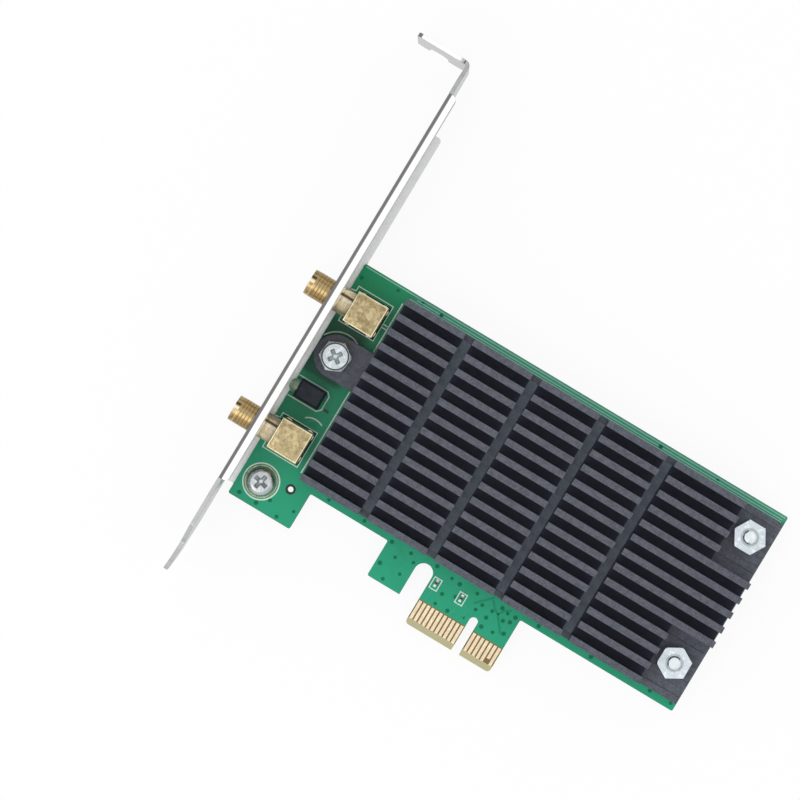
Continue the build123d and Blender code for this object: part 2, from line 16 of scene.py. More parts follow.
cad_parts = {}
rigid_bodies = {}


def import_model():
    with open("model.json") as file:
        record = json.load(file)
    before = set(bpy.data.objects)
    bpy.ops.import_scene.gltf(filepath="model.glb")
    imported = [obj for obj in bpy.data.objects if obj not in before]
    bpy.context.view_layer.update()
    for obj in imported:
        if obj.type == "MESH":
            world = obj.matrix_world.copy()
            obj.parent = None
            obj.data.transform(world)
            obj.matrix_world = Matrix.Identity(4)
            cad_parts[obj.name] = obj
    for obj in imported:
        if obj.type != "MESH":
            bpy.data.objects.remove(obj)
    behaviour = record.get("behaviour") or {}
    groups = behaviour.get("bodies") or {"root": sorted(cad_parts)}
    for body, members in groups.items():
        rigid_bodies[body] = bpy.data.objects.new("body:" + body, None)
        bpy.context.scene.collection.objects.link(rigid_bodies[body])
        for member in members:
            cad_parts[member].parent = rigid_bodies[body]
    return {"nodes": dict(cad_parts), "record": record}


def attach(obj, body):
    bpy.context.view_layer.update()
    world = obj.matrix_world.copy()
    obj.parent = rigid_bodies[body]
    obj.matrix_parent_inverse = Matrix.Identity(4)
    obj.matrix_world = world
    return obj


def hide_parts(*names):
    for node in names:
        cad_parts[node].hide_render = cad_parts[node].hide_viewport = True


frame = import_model()

Colour = tuple[float, float, float]
Point = tuple[float, float]
Socket = bpy.types.NodeSocket

MM = 0.001
BODY = "root"
JACKS: dict[str, float] = {"lower": 20.25, "upper": 50.25}
JACK_AXIS_Z = 8.32
BOARD_SCREW: Point = (-52.45, 9.7)
LUG_SCREW: Point = (-52.45, 39.7)
ROW_SPACING = 30.0
log = logging.getLogger("card")


def shade(colour: Colour, factor: float, most: float = math.inf) -> Colour:
    """The colour with each channel multiplied by the factor, up to a highest value."""
    return tuple(min(v * factor, most) for v in colour)


# Node trees


class Graph:
    """Short calls that add nodes to a tree and join their sockets."""

    def __init__(self, tree: bpy.types.NodeTree) -> None:
        """Works on the given tree."""
        self.tree = tree

    def feed(self, socket: Socket, value: object) -> None:
        """Links a socket to the value, or sets it to the value.

        Args:
            socket: the input that takes the value.
            value: another node's output, or a number, colour or vector.
        """
        if isinstance(value, bpy.types.NodeSocket):
            self.tree.links.new(value, socket)
        elif socket.type == "RGBA" and len(value) == 3:
            socket.default_value = (*value, 1.0)
        else:
            socket.default_value = value

    def add(self, kind: str, feeds: dict | None = None, **settings: object) -> bpy.types.Node:
        """Adds a node.

        Args:
            kind: the node's type.
            feeds: values or sockets for its inputs, by name or number.
            settings: the node's own properties.

        Returns:
            The new node.
        """
        node = self.tree.nodes.new(kind)
        for name, value in settings.items():
            setattr(node, name, value)
        for key, value in (feeds or {}).items():
            self.feed(node.inputs[key], value)
        return node

    def maths(self, operation: str, *values: object) -> Socket:
        """The result of a Math node on up to three values."""
        return self.add("ShaderNodeMath", dict(enumerate(values)), operation=operation).outputs[0]

    def times(self, *values: object) -> object:
        """The product of all the values.

        Args:
            values: numbers or sockets, at least one.

        Returns:
            The product's socket, or the value itself where there is only one.
        """
        product = values[0]
        for value in values[1:]:
            product = self.maths("MULTIPLY", product, value)
        return product

    def plus(self, first: object, second: object) -> Socket:
        """The sum of two values."""
        return self.maths("ADD", first, second)

    def less(self, first: object, second: object) -> Socket:
        """The first value less the second."""
        return self.maths("SUBTRACT", first, second)

    def larger(self, first: object, second: object) -> Socket:
        """The larger of two values."""
        return self.maths("MAXIMUM", first, second)

    def unsigned(self, value: object) -> Socket:
        """The value without its sign."""
        return self.maths("ABSOLUTE", value)

    def reach(self, across: object, up: object) -> Socket:
        """The distance that two sides at a right angle span."""
        return self.maths("SQRT", self.plus(self.times(across, across), self.times(up, up)))

    def repeated(self, value: object, middle: float, spacing: float) -> Socket:
        """The distance from the nearest of a row of places, from the first one's middle and their spacing."""
        return self.maths("WRAP", self.less(value, middle), spacing / 2, -spacing / 2)

    def vector(self, operation: str, *values: object) -> Socket:
        """The vector result of a Vector Math node."""
        return self.add("ShaderNodeVectorMath", dict(enumerate(values)), operation=operation).outputs[0]

    def ramp(self, value: object, low: float, high: float, start: float = 0.0, end: float = 1.0) -> Socket:
        """Maps low to high onto start to end, held at both ends and eased between."""
        feeds = {"Value": value, "From Min": low, "From Max": high, "To Min": start, "To Max": end}
        return self.add("ShaderNodeMapRange", feeds, interpolation_type="SMOOTHSTEP").outputs["Result"]

    def mix(self, share: object, first: object, second: object) -> Socket:
        """Blends two colours by a share from 0 to 1."""
        return self.add("ShaderNodeMix", {0: share, 6: first, 7: second}, data_type="RGBA").outputs[2]

    def over(self, under: object, paint: object, *shares: object) -> Socket:
        """Lays a colour over another, by the product of masks and shares from 0 to 1."""
        return self.mix(self.times(*shares), under, paint)

    def noise(self, position: Socket, scale: float, detail: float = 2.0, rough: float = 0.5) -> Socket:
        """Smooth noise from 0 to 1, with so many cells to the millimetre."""
        feeds = {"Vector": position, "Scale": scale, "Detail": detail, "Roughness": rough}
        return self.add("ShaderNodeTexNoise", feeds).outputs["Fac"]


class EffectGroup:
    """A shader node group with named inputs and one mask out, which several finishes share."""

    def __init__(self, name: str, numbers: dict[str, float]) -> None:
        """Starts a group that reads a position in millimetres and some numbers.

        Args:
            name: the group's name.
            numbers: each numeric input's name and first value.
        """
        self.tree = bpy.data.node_groups.new(name, "ShaderNodeTree")
        sockets = self.tree.interface
        sockets.new_socket("Position", in_out="INPUT", socket_type="NodeSocketVector")
        for label, value in numbers.items():
            sockets.new_socket(label, in_out="INPUT", socket_type="NodeSocketFloat").default_value = value
        sockets.new_socket("Mask", in_out="OUTPUT", socket_type="NodeSocketFloat")
        self.graph = Graph(self.tree)
        self.inputs = self.graph.add("NodeGroupInput").outputs
        self.output = self.graph.add("NodeGroupOutput").inputs["Mask"]

    def close(self, mask: Socket) -> "EffectGroup":
        """Puts the mask out of the group, and returns the group."""
        self.graph.feed(self.output, mask)
        return self

    def place(self, graph: Graph, position: Socket, **numbers: object) -> Socket:
        """Places the group in a material and returns its mask."""
        feeds = {"Position": position, **numbers}
        return graph.add("ShaderNodeGroup", feeds, node_tree=self.tree).outputs["Mask"]


def grain_group() -> EffectGroup:
    """Fine grain, from two noises of unlike size.

    Returns:
        The group, whose mask lies about one half.
    """
    fine_share, coarse_scale, spread_by = 0.6, 0.31, 3.0
    group = EffectGroup("fine_grain", {"Scale": 4.0, "Contrast": 1.0})
    graph, ins = group.graph, group.inputs
    fine = graph.add("ShaderNodeTexNoise", {"Vector": ins["Position"], "Scale": ins["Scale"], "Detail": 3.0})
    wide = {"Vector": ins["Position"], "Scale": graph.times(ins["Scale"], coarse_scale)}
    coarse = graph.add("ShaderNodeTexNoise", wide)
    both = graph.plus(graph.times(fine.outputs["Fac"], fine_share),
                      graph.times(coarse.outputs["Fac"], 1 - fine_share))
    spread = graph.times(graph.less(both, 0.5), ins["Contrast"], spread_by)
    return group.close(graph.add("ShaderNodeClamp", {"Value": graph.plus(spread, 0.5)}).outputs[0])


def scratch_group() -> EffectGroup:
    """Thin straight scratches at an angle about Z.

    Returns:
        The group, whose mask is 1 in a scratch.
    """
    across, along, fewest, soft = 7.0, 0.35, 0.72, 0.05
    group = EffectGroup("scratches", {"Angle": 0.5, "Spacing": 1.0, "Amount": 0.3})
    graph, ins = group.graph, group.inputs
    feeds = {"Vector": ins["Position"], "Angle": ins["Angle"]}
    turned = graph.add("ShaderNodeVectorRotate", feeds, rotation_type="Z_AXIS").outputs[0]
    wide = graph.maths("DIVIDE", across, ins["Spacing"])
    long = graph.maths("DIVIDE", along, ins["Spacing"])
    scale = graph.add("ShaderNodeCombineXYZ", {0: long, 1: wide, 2: wide}).outputs[0]
    lines = graph.noise(graph.vector("MULTIPLY", turned, scale), 1.0, 1.0)
    edge = graph.less(fewest, graph.times(ins["Amount"], 0.2))
    feeds = {"Value": lines, "From Min": edge, "From Max": graph.plus(edge, soft)}
    return group.close(graph.add("ShaderNodeMapRange", feeds).outputs[0])


def stain_group() -> EffectGroup:
    """Soft-edged stains and blotches of a given size.

    Returns:
        The group, whose mask is 1 in a stain.
    """
    fewest, soft = 0.75, 0.14
    group = EffectGroup("stains", {"Size": 2.0, "Cover": 0.5})
    graph, ins = group.graph, group.inputs
    feeds = {"Vector": ins["Position"], "Scale": graph.maths("DIVIDE", 1.0, ins["Size"]), "Detail": 5.0}
    cells = graph.add("ShaderNodeTexNoise", {**feeds, "Roughness": 0.62, "Distortion": 0.6})
    edge = graph.less(fewest, graph.times(ins["Cover"], 0.5))
    feeds = {"Value": cells.outputs["Fac"], "From Min": edge, "From Max": graph.plus(edge, soft)}
    return group.close(graph.add("ShaderNodeMapRange", feeds).outputs[0])


def edge_group() -> EffectGroup:
    """A line along every sharp edge, so many metres wide.

    Returns:
        The group, whose mask is 1 on an edge.
    """
    group = EffectGroup("edge_lines", {"Width": 0.0002})
    graph, ins = group.graph, group.inputs
    rounded = graph.add("ShaderNodeBevel", {"Radius": ins["Width"]}, samples=8).outputs[0]
    flat = graph.add("ShaderNodeNewGeometry").outputs["True Normal"]
    alike = graph.add("ShaderNodeVectorMath", {0: rounded, 1: flat}, operation="DOT_PRODUCT").outputs["Value"]
    return group.close(graph.ramp(alike, 0.80, 0.985, 1.0, 0.0))


GRAIN = grain_group()
SCRATCHES = scratch_group()
STAINS = stain_group()
EDGES = edge_group()


class MaterialGraph(Graph):
    """A material's node tree, with its shader and the places that a pattern reads."""

    def __init__(self, material: bpy.types.Material) -> None:
        """Empties the material's tree and adds a Principled shader and its output.

        Args:
            material: the material to fill.
        """
        material.use_nodes = True
        super().__init__(material.node_tree)
        self.tree.nodes.clear()
        self.shader = self.add("ShaderNodeBsdfPrincipled")
        self.add("ShaderNodeOutputMaterial", {"Surface": self.shader.outputs[0]})
        where = self.add("ShaderNodeTexCoord").outputs["Object"]
        self.position = self.vector("MULTIPLY", where, (1 / MM, 1 / MM, 1 / MM))
        self.x, self.y, self.z = self.add("ShaderNodeSeparateXYZ", {0: self.position}).outputs
        facing = self.add("ShaderNodeNewGeometry").outputs["True Normal"]
        self.facing_x, _, self.facing_z = self.add("ShaderNodeSeparateXYZ", {0: facing}).outputs

    def set(self, name: str, value: object) -> None:
        """Feeds one of the shader's inputs."""
        self.feed(self.shader.inputs[name], value)

    def within(self, value: Socket, low: float, high: float, soft: float = 0.05) -> Socket:
        """1 where the value lies between low and high, easing off over the soft distance outside."""
        return self.times(self.ramp(value, low - soft, low), self.ramp(value, high, high + soft, 1.0, 0.0))

    def grain(self, scale: float, contrast: object = 1.0) -> Socket:
        """The mask of the fine grain."""
        return GRAIN.place(self, self.position, Scale=scale, Contrast=contrast)

    def stains(self, size: float, cover: float = 0.5) -> Socket:
        """The mask of the stains."""
        return STAINS.place(self, self.position, Size=size, Cover=cover)

    def edges(self, width: float) -> Socket:
        """The mask of lines along the sharp edges."""
        return EDGES.place(self, self.position, Width=width * MM)

    def relief(self, height: object, depth: float, soft_edge: float = 0.0) -> None:
        """Bumps the surface, and rounds its edges in the shading.

        Args:
            height: the pattern's height, from 0 to 1.
            depth: how far 1 stands out, in millimetres.
            soft_edge: the radius that edges seem to have, in millimetres.
        """
        feeds = {"Height": height, "Distance": depth * MM, "Strength": 1.0}
        if soft_edge:
            feeds["Normal"] = self.add("ShaderNodeBevel", {"Radius": soft_edge * MM}, samples=6).outputs[0]
        self.set("Normal", self.add("ShaderNodeBump", feeds).outputs[0])


# Finishes


@dataclass(frozen=True)
class Finish:
    """A surface finish: its name, its main colour in linear light and how rough it is."""

    name: str
    colour: Colour
    rough: float = 0.4

    def material(self) -> bpy.types.Material:
        """The finish as a material, made once.

        Returns:
            The material.
        """
        made = bpy.data.materials.get(self.name)
        if made is None:
            made = bpy.data.materials.new(self.name)
            self.paint(MaterialGraph(made))
        return made

    def paint(self, graph: MaterialGraph) -> None:
        """Fills the material's nodes."""
        raise NotImplementedError


@dataclass(frozen=True)
class SolderMask(Finish):
    """Glossy green mask over copper and laminate, bare where the contacts are and along cut edges."""

    pale: Colour = (0.010, 0.380, 0.205)
    dark: Colour = (0.001, 0.060, 0.035)
    speck: Colour = (0.10, 0.42, 0.25)
    sheen: Colour = (0.16, 0.46, 0.37)
    cut_edge: Colour = (0.020, 0.12, 0.065)
    bare: Colour = (0.20, 0.13, 0.05)
    bevel: Colour = (0.53, 0.50, 0.29)
    pale_to_full: Point = (8.0, 50.0)
    lit_strip: Point = (58.0, 59.2)
    lit_from: Point = (-46.0, -44.0)
    shaded_x: Point = (-57.0, -50.0)
    shaded_y: Point = (34.7, 46.2)
    window: Point = (-13.05, 8.3)
    window_top: float = 5.75
    bevel_top: float = 1.36
    bare_rough: float = 0.62
    gloss: float = 0.26

    def mask(self, graph: MaterialGraph) -> Socket:
        """The green over the copper, with painted light: paler towards the connector, a painted sheen along
        the top and painted shade beside the lug.

        Args:
            graph: the material's nodes.

        Returns:
            Its colour.
        """
        cloud = graph.less(graph.noise(graph.position, 0.09, 2.0), 0.5)
        # Paler towards the connector: painted light, as the lower board lies more open to the light.
        tone = graph.plus(graph.ramp(graph.y, *self.pale_to_full, 0.9, 0.0), cloud)
        green = graph.mix(graph.ramp(tone, 0.0, 1.0), self.colour, self.pale)
        green = graph.over(green, shade(self.colour, 0.72), graph.stains(5.0, 0.45), 0.18)
        green = graph.over(green, self.speck, graph.grain(5.0, 0.7), 0.10)
        # A painted sheen along the top edge of the board.
        along = graph.ramp(graph.x, *self.lit_from, 0.0, 0.42)
        green = graph.over(green, self.sheen, graph.within(graph.y, *self.lit_strip, 0.1), along)
        # Painted shade between the bracket, the lug and the upper jack.
        beside = graph.within(graph.x, *self.shaded_x, 2.5)
        green = graph.over(green, self.dark, beside, graph.within(graph.y, *self.shaded_y, 1.3), 0.75)
        return graph.over(green, self.cut_edge, graph.edges(0.25), 0.8)

    def laminate(self, graph: MaterialGraph) -> Socket:
        """The bare laminate between the contacts, with its cloth.

        Args:
            graph: the material's nodes.

        Returns:
            Its colour.
        """
        feeds = {"Vector": graph.position, "Scale": 1.6, "Distortion": 2.5, "Detail": 2.0}
        cloth = graph.add("ShaderNodeTexWave", feeds, bands_direction="Y").outputs["Fac"]
        return graph.over(self.bare, shade(self.bare, 1.6), cloth, 0.5)

    def ground(self, graph: MaterialGraph) -> Socket:
        """The ground bevel, with its glass fibres.

        Args:
            graph: the material's nodes.

        Returns:
            Its colour.
        """
        fibres = graph.noise(graph.vector("MULTIPLY", graph.position, (0.6, 4.0, 9.0)), 1.2, 3.0)
        return graph.over(self.bevel, shade(self.bevel, 0.6), fibres, 0.6)

    def paint(self, graph: MaterialGraph) -> None:
        """Paints mask, cut edges, bare laminate and bevel by place and direction.

        Args:
            graph: the material's nodes.
        """
        cut = graph.less(1.0, graph.ramp(graph.unsigned(graph.facing_z), 0.95, 0.99))
        below = graph.ramp(graph.y, self.window_top, self.window_top + 0.05, 1.0, 0.0)
        fingers = graph.times(graph.within(graph.x, *self.window), below)
        low = graph.ramp(graph.y, self.bevel_top, self.bevel_top + 0.04, 1.0, 0.0)
        colour = graph.mix(fingers, self.mask(graph), self.laminate(graph))
        colour = graph.mix(cut, colour, self.cut_edge)
        graph.set("Base Color", graph.mix(low, colour, self.ground(graph)))
        matt = graph.larger(graph.larger(fingers, low), cut)
        graph.set("Roughness", graph.ramp(matt, 0.0, 1.0, self.rough, self.bare_rough))
        graph.set("Specular IOR Level", self.gloss)
        graph.relief(graph.noise(graph.position, 2.2, 3.0), 0.008)


@dataclass(frozen=True)
class Ink(Finish):
    """Printed ink, mask over a track, or a strip of painted shadow or sheen: an even colour with a little
    spread at its edges.
    """

    thin: float = 0.15
    gloss: float = 0.18

    def paint(self, graph: MaterialGraph) -> None:
        """Paints the ink, thinner in places.

        Args:
            graph: the material's nodes.
        """
        grain = graph.grain(3.0, 0.9)
        graph.set("Base Color", graph.over(self.colour, shade(self.colour, 0.6), grain, self.thin))
        graph.set("Roughness", self.rough)
        graph.set("Specular IOR Level", self.gloss)
        graph.relief(grain, 0.005)


@dataclass(frozen=True)
class Gold(Finish):
    """Gold plate, mottled where the part was tumbled, with handling scratches."""

    deep: Colour = (0.20, 0.13, 0.045)
    mottle: float = 0.6
    scratch: float = 0.3
    banded: float = 0.0
    rimmed: float = 0.0
    rim: Colour = (0.90, 0.84, 0.60)
    band: Colour = (0.80, 0.60, 0.42)

    def mottled(self, graph: MaterialGraph, grain: Socket, lines: Socket) -> Socket:
        """Plate with blotches, worn places, painted highlights along its edges, scratches and bands from
        contact to contact.

        Args:
            graph: the material's nodes.
            grain: the mask of the fine grain.
            lines: the mask of the scratches.

        Returns:
            Its colour.
        """
        colour = graph.over(self.colour, self.deep, graph.stains(0.75), grain, self.mottle)
        colour = graph.over(colour, self.deep, graph.stains(1.15), self.mottle * 0.7)
        worn = graph.ramp(graph.noise(graph.position, 0.8, 3.0), 0.50, 0.64, 0.0, self.mottle * 0.8)
        colour = graph.mix(worn, colour, shade(self.colour, 1.55, 0.95))
        if self.rimmed:
            # Painted highlights along the sharp edges.
            colour = graph.over(colour, self.rim, graph.edges(0.26), self.rimmed)
        colour = graph.over(colour, shade(self.colour, 1.5, 0.95), lines, 0.35)
        if self.banded:
            column = {"W": graph.maths("ROUND", graph.x)}
            value = graph.add("ShaderNodeTexWhiteNoise", column, noise_dimensions="1D").outputs["Value"]
            colour = graph.over(colour, self.band, value, self.banded)
        return colour

    def turned(self, graph: MaterialGraph, colour: Socket) -> tuple[Socket, object]:
        """The colour as it is, and how calm the grain is: a plain piece has no turned end."""
        return colour, 0.0

    def paint(self, graph: MaterialGraph) -> None:
        """Paints the plate, its roughness and its relief.

        Args:
            graph: the material's nodes.
        """
        graph.set("Metallic", 1.0)
        grain = graph.grain(4.2, 1.3)
        lines = SCRATCHES.place(graph, graph.position, Angle=0.9, Spacing=1.1, Amount=self.scratch)
        colour, calm = self.turned(graph, self.mottled(graph, grain, lines))
        graph.set("Base Color", colour)
        grain = graph.times(grain, graph.less(1.0, calm))
        graph.set("Roughness", graph.ramp(grain, 0.0, 1.0, self.rough - 0.08, self.rough + 0.12))
        graph.relief(graph.plus(grain, graph.times(lines, -0.5)), 0.006, 0.12)


@dataclass(frozen=True)
class TurnedGold(Gold):
    """Gold plate of the jacks, with painted light: a neck painted lighter, painted reflection bands along
    neck and barrel, and painted shade at the barrel's sides and in its thread.
    """

    share: float = 1.0
    neck: Colour = (0.84, 0.70, 0.46)
    side: Colour = (0.22, 0.13, 0.04)
    brown: Colour = (0.36, 0.19, 0.08)
    cream: Colour = (0.98, 0.90, 0.70)
    slot: Colour = (0.055, 0.035, 0.008)
    well: Colour = (0.22, 0.12, 0.03)
    block_left: float = -55.1
    neck_left: float = -59.0
    thread: Point = (-63.7, -60.1)
    well_radii: Point = (2.82, 2.97)

    def turned(self, graph: MaterialGraph, colour: Socket) -> tuple[Socket, object]:
        """Paints light and shade on neck and barrel over the plate.

        Args:
            graph: the material's nodes.
            colour: the plate's colour.

        Returns:
            The colour, and how calm the grain is.
        """
        across = graph.repeated(graph.y, JACKS["lower"], ROW_SPACING)
        barrel = graph.ramp(graph.x, self.block_left, self.block_left + 0.05, self.share, 0.0)
        outer = graph.ramp(graph.x, self.neck_left, self.neck_left + 0.2, 1.0, 0.0)
        neck = graph.times(barrel, graph.ramp(graph.x, self.neck_left, self.neck_left + 0.2))
        # The neck painted lighter, standing in for the light it reflects.
        colour = graph.over(colour, self.neck, neck, 0.93)
        # Painted shade towards the barrel's sides.
        colour = graph.over(colour, self.side, graph.ramp(graph.unsigned(across), 1.1, 2.4, 0.0, 0.4), outer)
        # Painted reflection bands: brown along the barrel, and a cream highlight and a dark line along neck
        # and barrel.
        colour = graph.over(colour, self.brown, graph.within(across, -1.5, -0.55, 0.5), 0.45, outer, barrel)
        colour = graph.over(colour, self.cream, graph.within(across, 0.15, 0.55, 0.25), 0.85, barrel)
        colour = graph.over(colour, self.slot, graph.within(across, 0.95, 1.35, 0.15), 0.9, barrel)
        # Painted shade in the roots of the thread.
        radius = graph.reach(across, graph.less(graph.z, JACK_AXIS_Z))
        deep = graph.ramp(radius, *self.well_radii, 0.7, 0.0)
        colour = graph.over(colour, self.well, graph.within(graph.x, *self.thread), deep)
        graph.set("Metallic", graph.ramp(neck, 0.0, 1.0, 1.0, 0.55))
        return colour, graph.times(neck, 0.85)


@dataclass(frozen=True)
class PlatedSheet(Finish):
    """Plated sheet steel: speckled on its faces, with painted light along the front flange, the back flange
    and the tab, and painted shade at its folds and edges.
    """

    bright: Colour = (0.97, 0.97, 0.96)
    back: Colour = (0.86, 0.87, 0.86)
    fold: Colour = (0.19, 0.185, 0.185)
    line: Colour = (0.33, 0.33, 0.33)
    rim: Colour = (0.25, 0.25, 0.25)
    flange: Point = (6.9, 97.2)
    flange_top: float = 17.4
    flange_line: Point = (-58.05, -57.93)
    back_flange: Point = (6.2, 89.6)
    back_flange_left: float = -58.9
    tab_bottom: float = 103.7
    tab_right: float = -60.6
    tab_end: float = -69.4
    folded: Point = (6.8, 97.3)
    fold_bottom: float = 15.9

    def speckled(self, graph: MaterialGraph, speck: Socket) -> Socket:
        """The speckled sheet with its clouds.

        Args:
            graph: the material's nodes.
            speck: the mask of the speckle.

        Returns:
            Its colour.
        """
        cloud = graph.noise(graph.position, 0.25, 2.0)
        colour = graph.mix(speck, shade(self.colour, 0.80), shade(self.colour, 1.2, 0.96))
        return graph.mix(graph.ramp(cloud, 0.3, 0.7, 0.0, 0.10), colour, self.bright)

    def flanges(self, graph: MaterialGraph, colour: Socket) -> Socket:
        """Paints light and shade on the upward faces: upward faces darker, the back flange, tab and front
        flange lighter, and a painted shade line on the front flange.

        Args:
            graph: the material's nodes.
            colour: the colour so far.

        Returns:
            The new colour.
        """
        upward = graph.ramp(graph.facing_z, 0.8, 0.97)
        colour = graph.over(colour, shade(self.colour, 0.55), upward, 0.5)
        # Painted light on the back flange, which lies in the front flange's shade.
        right = graph.ramp(graph.x, self.back_flange_left, self.back_flange_left + 0.2)
        colour = graph.over(colour, self.back, upward, right, graph.within(graph.y, *self.back_flange))
        # Painted light on the tab's upward faces.
        above = graph.ramp(graph.y, self.tab_bottom, self.tab_bottom + 0.2)
        left = graph.ramp(graph.x, self.tab_right, self.tab_right - 0.2)
        colour = graph.over(colour, self.bright, upward, above, left)
        # Painted highlight on the front flange's top.
        front = graph.ramp(graph.z, self.flange_top, self.flange_top + 0.1)
        top = graph.times(upward, front, graph.within(graph.y, *self.flange))
        colour = graph.mix(top, colour, self.bright)
        # A painted shade line along one side of the front flange's top.
        return graph.over(colour, self.line, top, graph.ramp(graph.x, *self.flange_line), 0.8)

    def folds(self, graph: MaterialGraph, colour: Socket) -> Socket:
        """Paints shade on the folds and along the edges.

        Args:
            graph: the material's nodes.
            colour: the colour so far.

        Returns:
            The new colour.
        """
        # Painted shade on the outward slopes of the folds.
        slope = graph.within(graph.facing_z, 0.12, 0.86, 0.08)
        outward = graph.ramp(graph.facing_x, -0.3, -0.5)
        end = graph.ramp(graph.x, self.tab_end, self.tab_end - 0.2)
        places = graph.larger(graph.within(graph.y, *self.folded), end)
        high = graph.ramp(graph.z, self.fold_bottom, self.fold_bottom + 0.5)
        colour = graph.over(colour, self.fold, slope, outward, high, places)
        # Painted shade along the sharp edges.
        return graph.over(colour, self.rim, graph.edges(0.22), 0.4)

    def paint(self, graph: MaterialGraph) -> None:
        """Paints speckle, and light and shade on flanges and folds.

        Args:
            graph: the material's nodes.
        """
        graph.set("Metallic", 1.0)
        side = graph.ramp(graph.unsigned(graph.facing_x), 0.6, 0.9, 0.55, 1.1)
        speck = graph.grain(2.6, side)
        graph.set("Base Color", self.folds(graph, self.flanges(graph, self.speckled(graph, speck))))
        graph.set("Roughness", graph.ramp(speck, 0.0, 1.0, self.rough - 0.05, self.rough + 0.15))
        graph.relief(speck, 0.010, 0.1)


@dataclass(frozen=True)
class Anodised(Finish):
    """Black anodised extrusion, cut across its fins, with painted shade deep down between them and painted
    light on its cross channels.
    """

    deep: Colour = (0.001, 0.004, 0.026)
    sawn: tuple[Colour, Colour] = ((0.085, 0.108, 0.135), (0.150, 0.180, 0.215))
    floor: float = 5.7
    fin_top: float = 11.6
    first_channel: float = -30.8
    last_channel: float = 19.0
    block: float = 16.0
    channel_half: float = 0.98
    finned: tuple[Point, Point] = ((-45.7, 35.0), (15.9, 56.1))
    long_fins: tuple[Point, Point] = ((34.0, 43.9), (29.7, 42.3))
    gloss: float = 0.3

    def paint(self, graph: MaterialGraph) -> None:
        """Paints the grain along the fins, painted shade down between them, painted highlights on the edges
        and painted light on the channel floors.

        Args:
            graph: the material's nodes.
        """
        grain = graph.grain(3.0, 1.8)
        drawn = graph.noise(graph.vector("MULTIPLY", graph.position, (0.25, 3.0, 3.0)), 1.0, 3.0)
        mixed = graph.plus(graph.times(grain, 0.6), graph.times(drawn, 0.4))
        colour = graph.mix(mixed, shade(self.colour, 0.55), shade(self.colour, 1.5))
        along = graph.unsigned(graph.repeated(graph.x, self.first_channel, self.block))
        fins = graph.larger(graph.ramp(along, self.channel_half, self.channel_half + 0.08),
                            graph.ramp(graph.x, self.last_channel, self.last_channel + 0.1))
        inside = graph.larger(*[graph.times(graph.within(graph.x, *x), graph.within(graph.y, *y))
                                for x, y in (self.finned, self.long_fins)])
        # Painted shade, deepening down between the fins.
        down = graph.ramp(graph.z, self.floor, self.fin_top, 1.0, 0.0)
        colour = graph.over(colour, self.deep, down, fins, inside, 0.85)
        # Painted highlights along the edges.
        colour = graph.over(colour, shade(self.colour, 1.8), graph.edges(0.15), 0.25)
        # Painted light on the floors of the cross channels.
        colour = graph.over(colour, graph.mix(mixed, *self.sawn), graph.less(1.0, fins), inside)
        graph.set("Base Color", colour)
        graph.set("Specular IOR Level", self.gloss)
        graph.set("Roughness", graph.ramp(grain, 0.0, 1.0, self.rough, self.rough + 0.15))
        graph.relief(mixed, 0.014, 0.1)


@dataclass(frozen=True)
class Zinc(Finish):
    """Bright zinc plate on fasteners, with painted shade along edges, round a recess and in a crown's groove,
    and a painted highlight on a crown's outer edges.
    """

    edge: float = 0.0
    lined: float = 0.0
    groove: Point | None = None
    edge_line: Colour = (0.24, 0.27, 0.29)
    recess_line: Colour = (0.07, 0.08, 0.09)
    lit_line: Colour = (0.93, 0.95, 0.97)
    groove_line: Colour = (0.03, 0.04, 0.05)
    recess_radius: float = 1.8

    def crown(self, graph: MaterialGraph, colour: Socket) -> Socket:
        """Paints shade round a driven screw's recess, a highlight on its outer edges and shade in its groove.

        Args:
            graph: the material's nodes.
            colour: the colour so far.

        Returns:
            The new colour.
        """
        rim = graph.edges(0.16)
        across = graph.less(graph.x, BOARD_SCREW[0])
        radius = graph.reach(across, graph.repeated(graph.y, BOARD_SCREW[1], ROW_SPACING))
        inner = graph.ramp(radius, self.recess_radius, self.recess_radius + 0.2, 1.0, 0.0)
        # Painted shade round the recess.
        colour = graph.over(colour, self.recess_line, rim, inner, self.lined)
        # A painted highlight on the outer edges.
        colour = graph.over(colour, self.lit_line, rim, graph.less(1.0, inner))
        if self.groove:
            # Painted shade in the groove.
            colour = graph.over(colour, self.groove_line, graph.within(radius, *self.groove, 0.08), 0.95)
        return colour

    def paint(self, graph: MaterialGraph) -> None:
        """Paints cloudy plate with worn places, and painted shade and highlights along edges.

        Args:
            graph: the material's nodes.
        """
        graph.set("Metallic", 1.0)
        grain = graph.grain(3.5)
        clouded = 0.45 if self.lined else 0.3
        colour = graph.over(self.colour, shade(self.colour, 0.55), graph.stains(1.3), clouded)
        worn = graph.ramp(graph.noise(graph.position, 0.9, 2.0), 0.55, 0.66, 0.0, 0.5)
        colour = graph.mix(worn, colour, shade(self.colour, 1.45, 0.97))
        if self.edge:
            # Painted shade along the edges.
            colour = graph.over(colour, self.edge_line, graph.edges(0.22), self.edge)
        if self.lined:
            colour = self.crown(graph, colour)
        graph.set("Base Color", colour)
        graph.set("Roughness", graph.ramp(grain, 0.0, 1.0, self.rough - 0.06, self.rough + 0.1))
        graph.relief(grain, 0.010, 0.15)


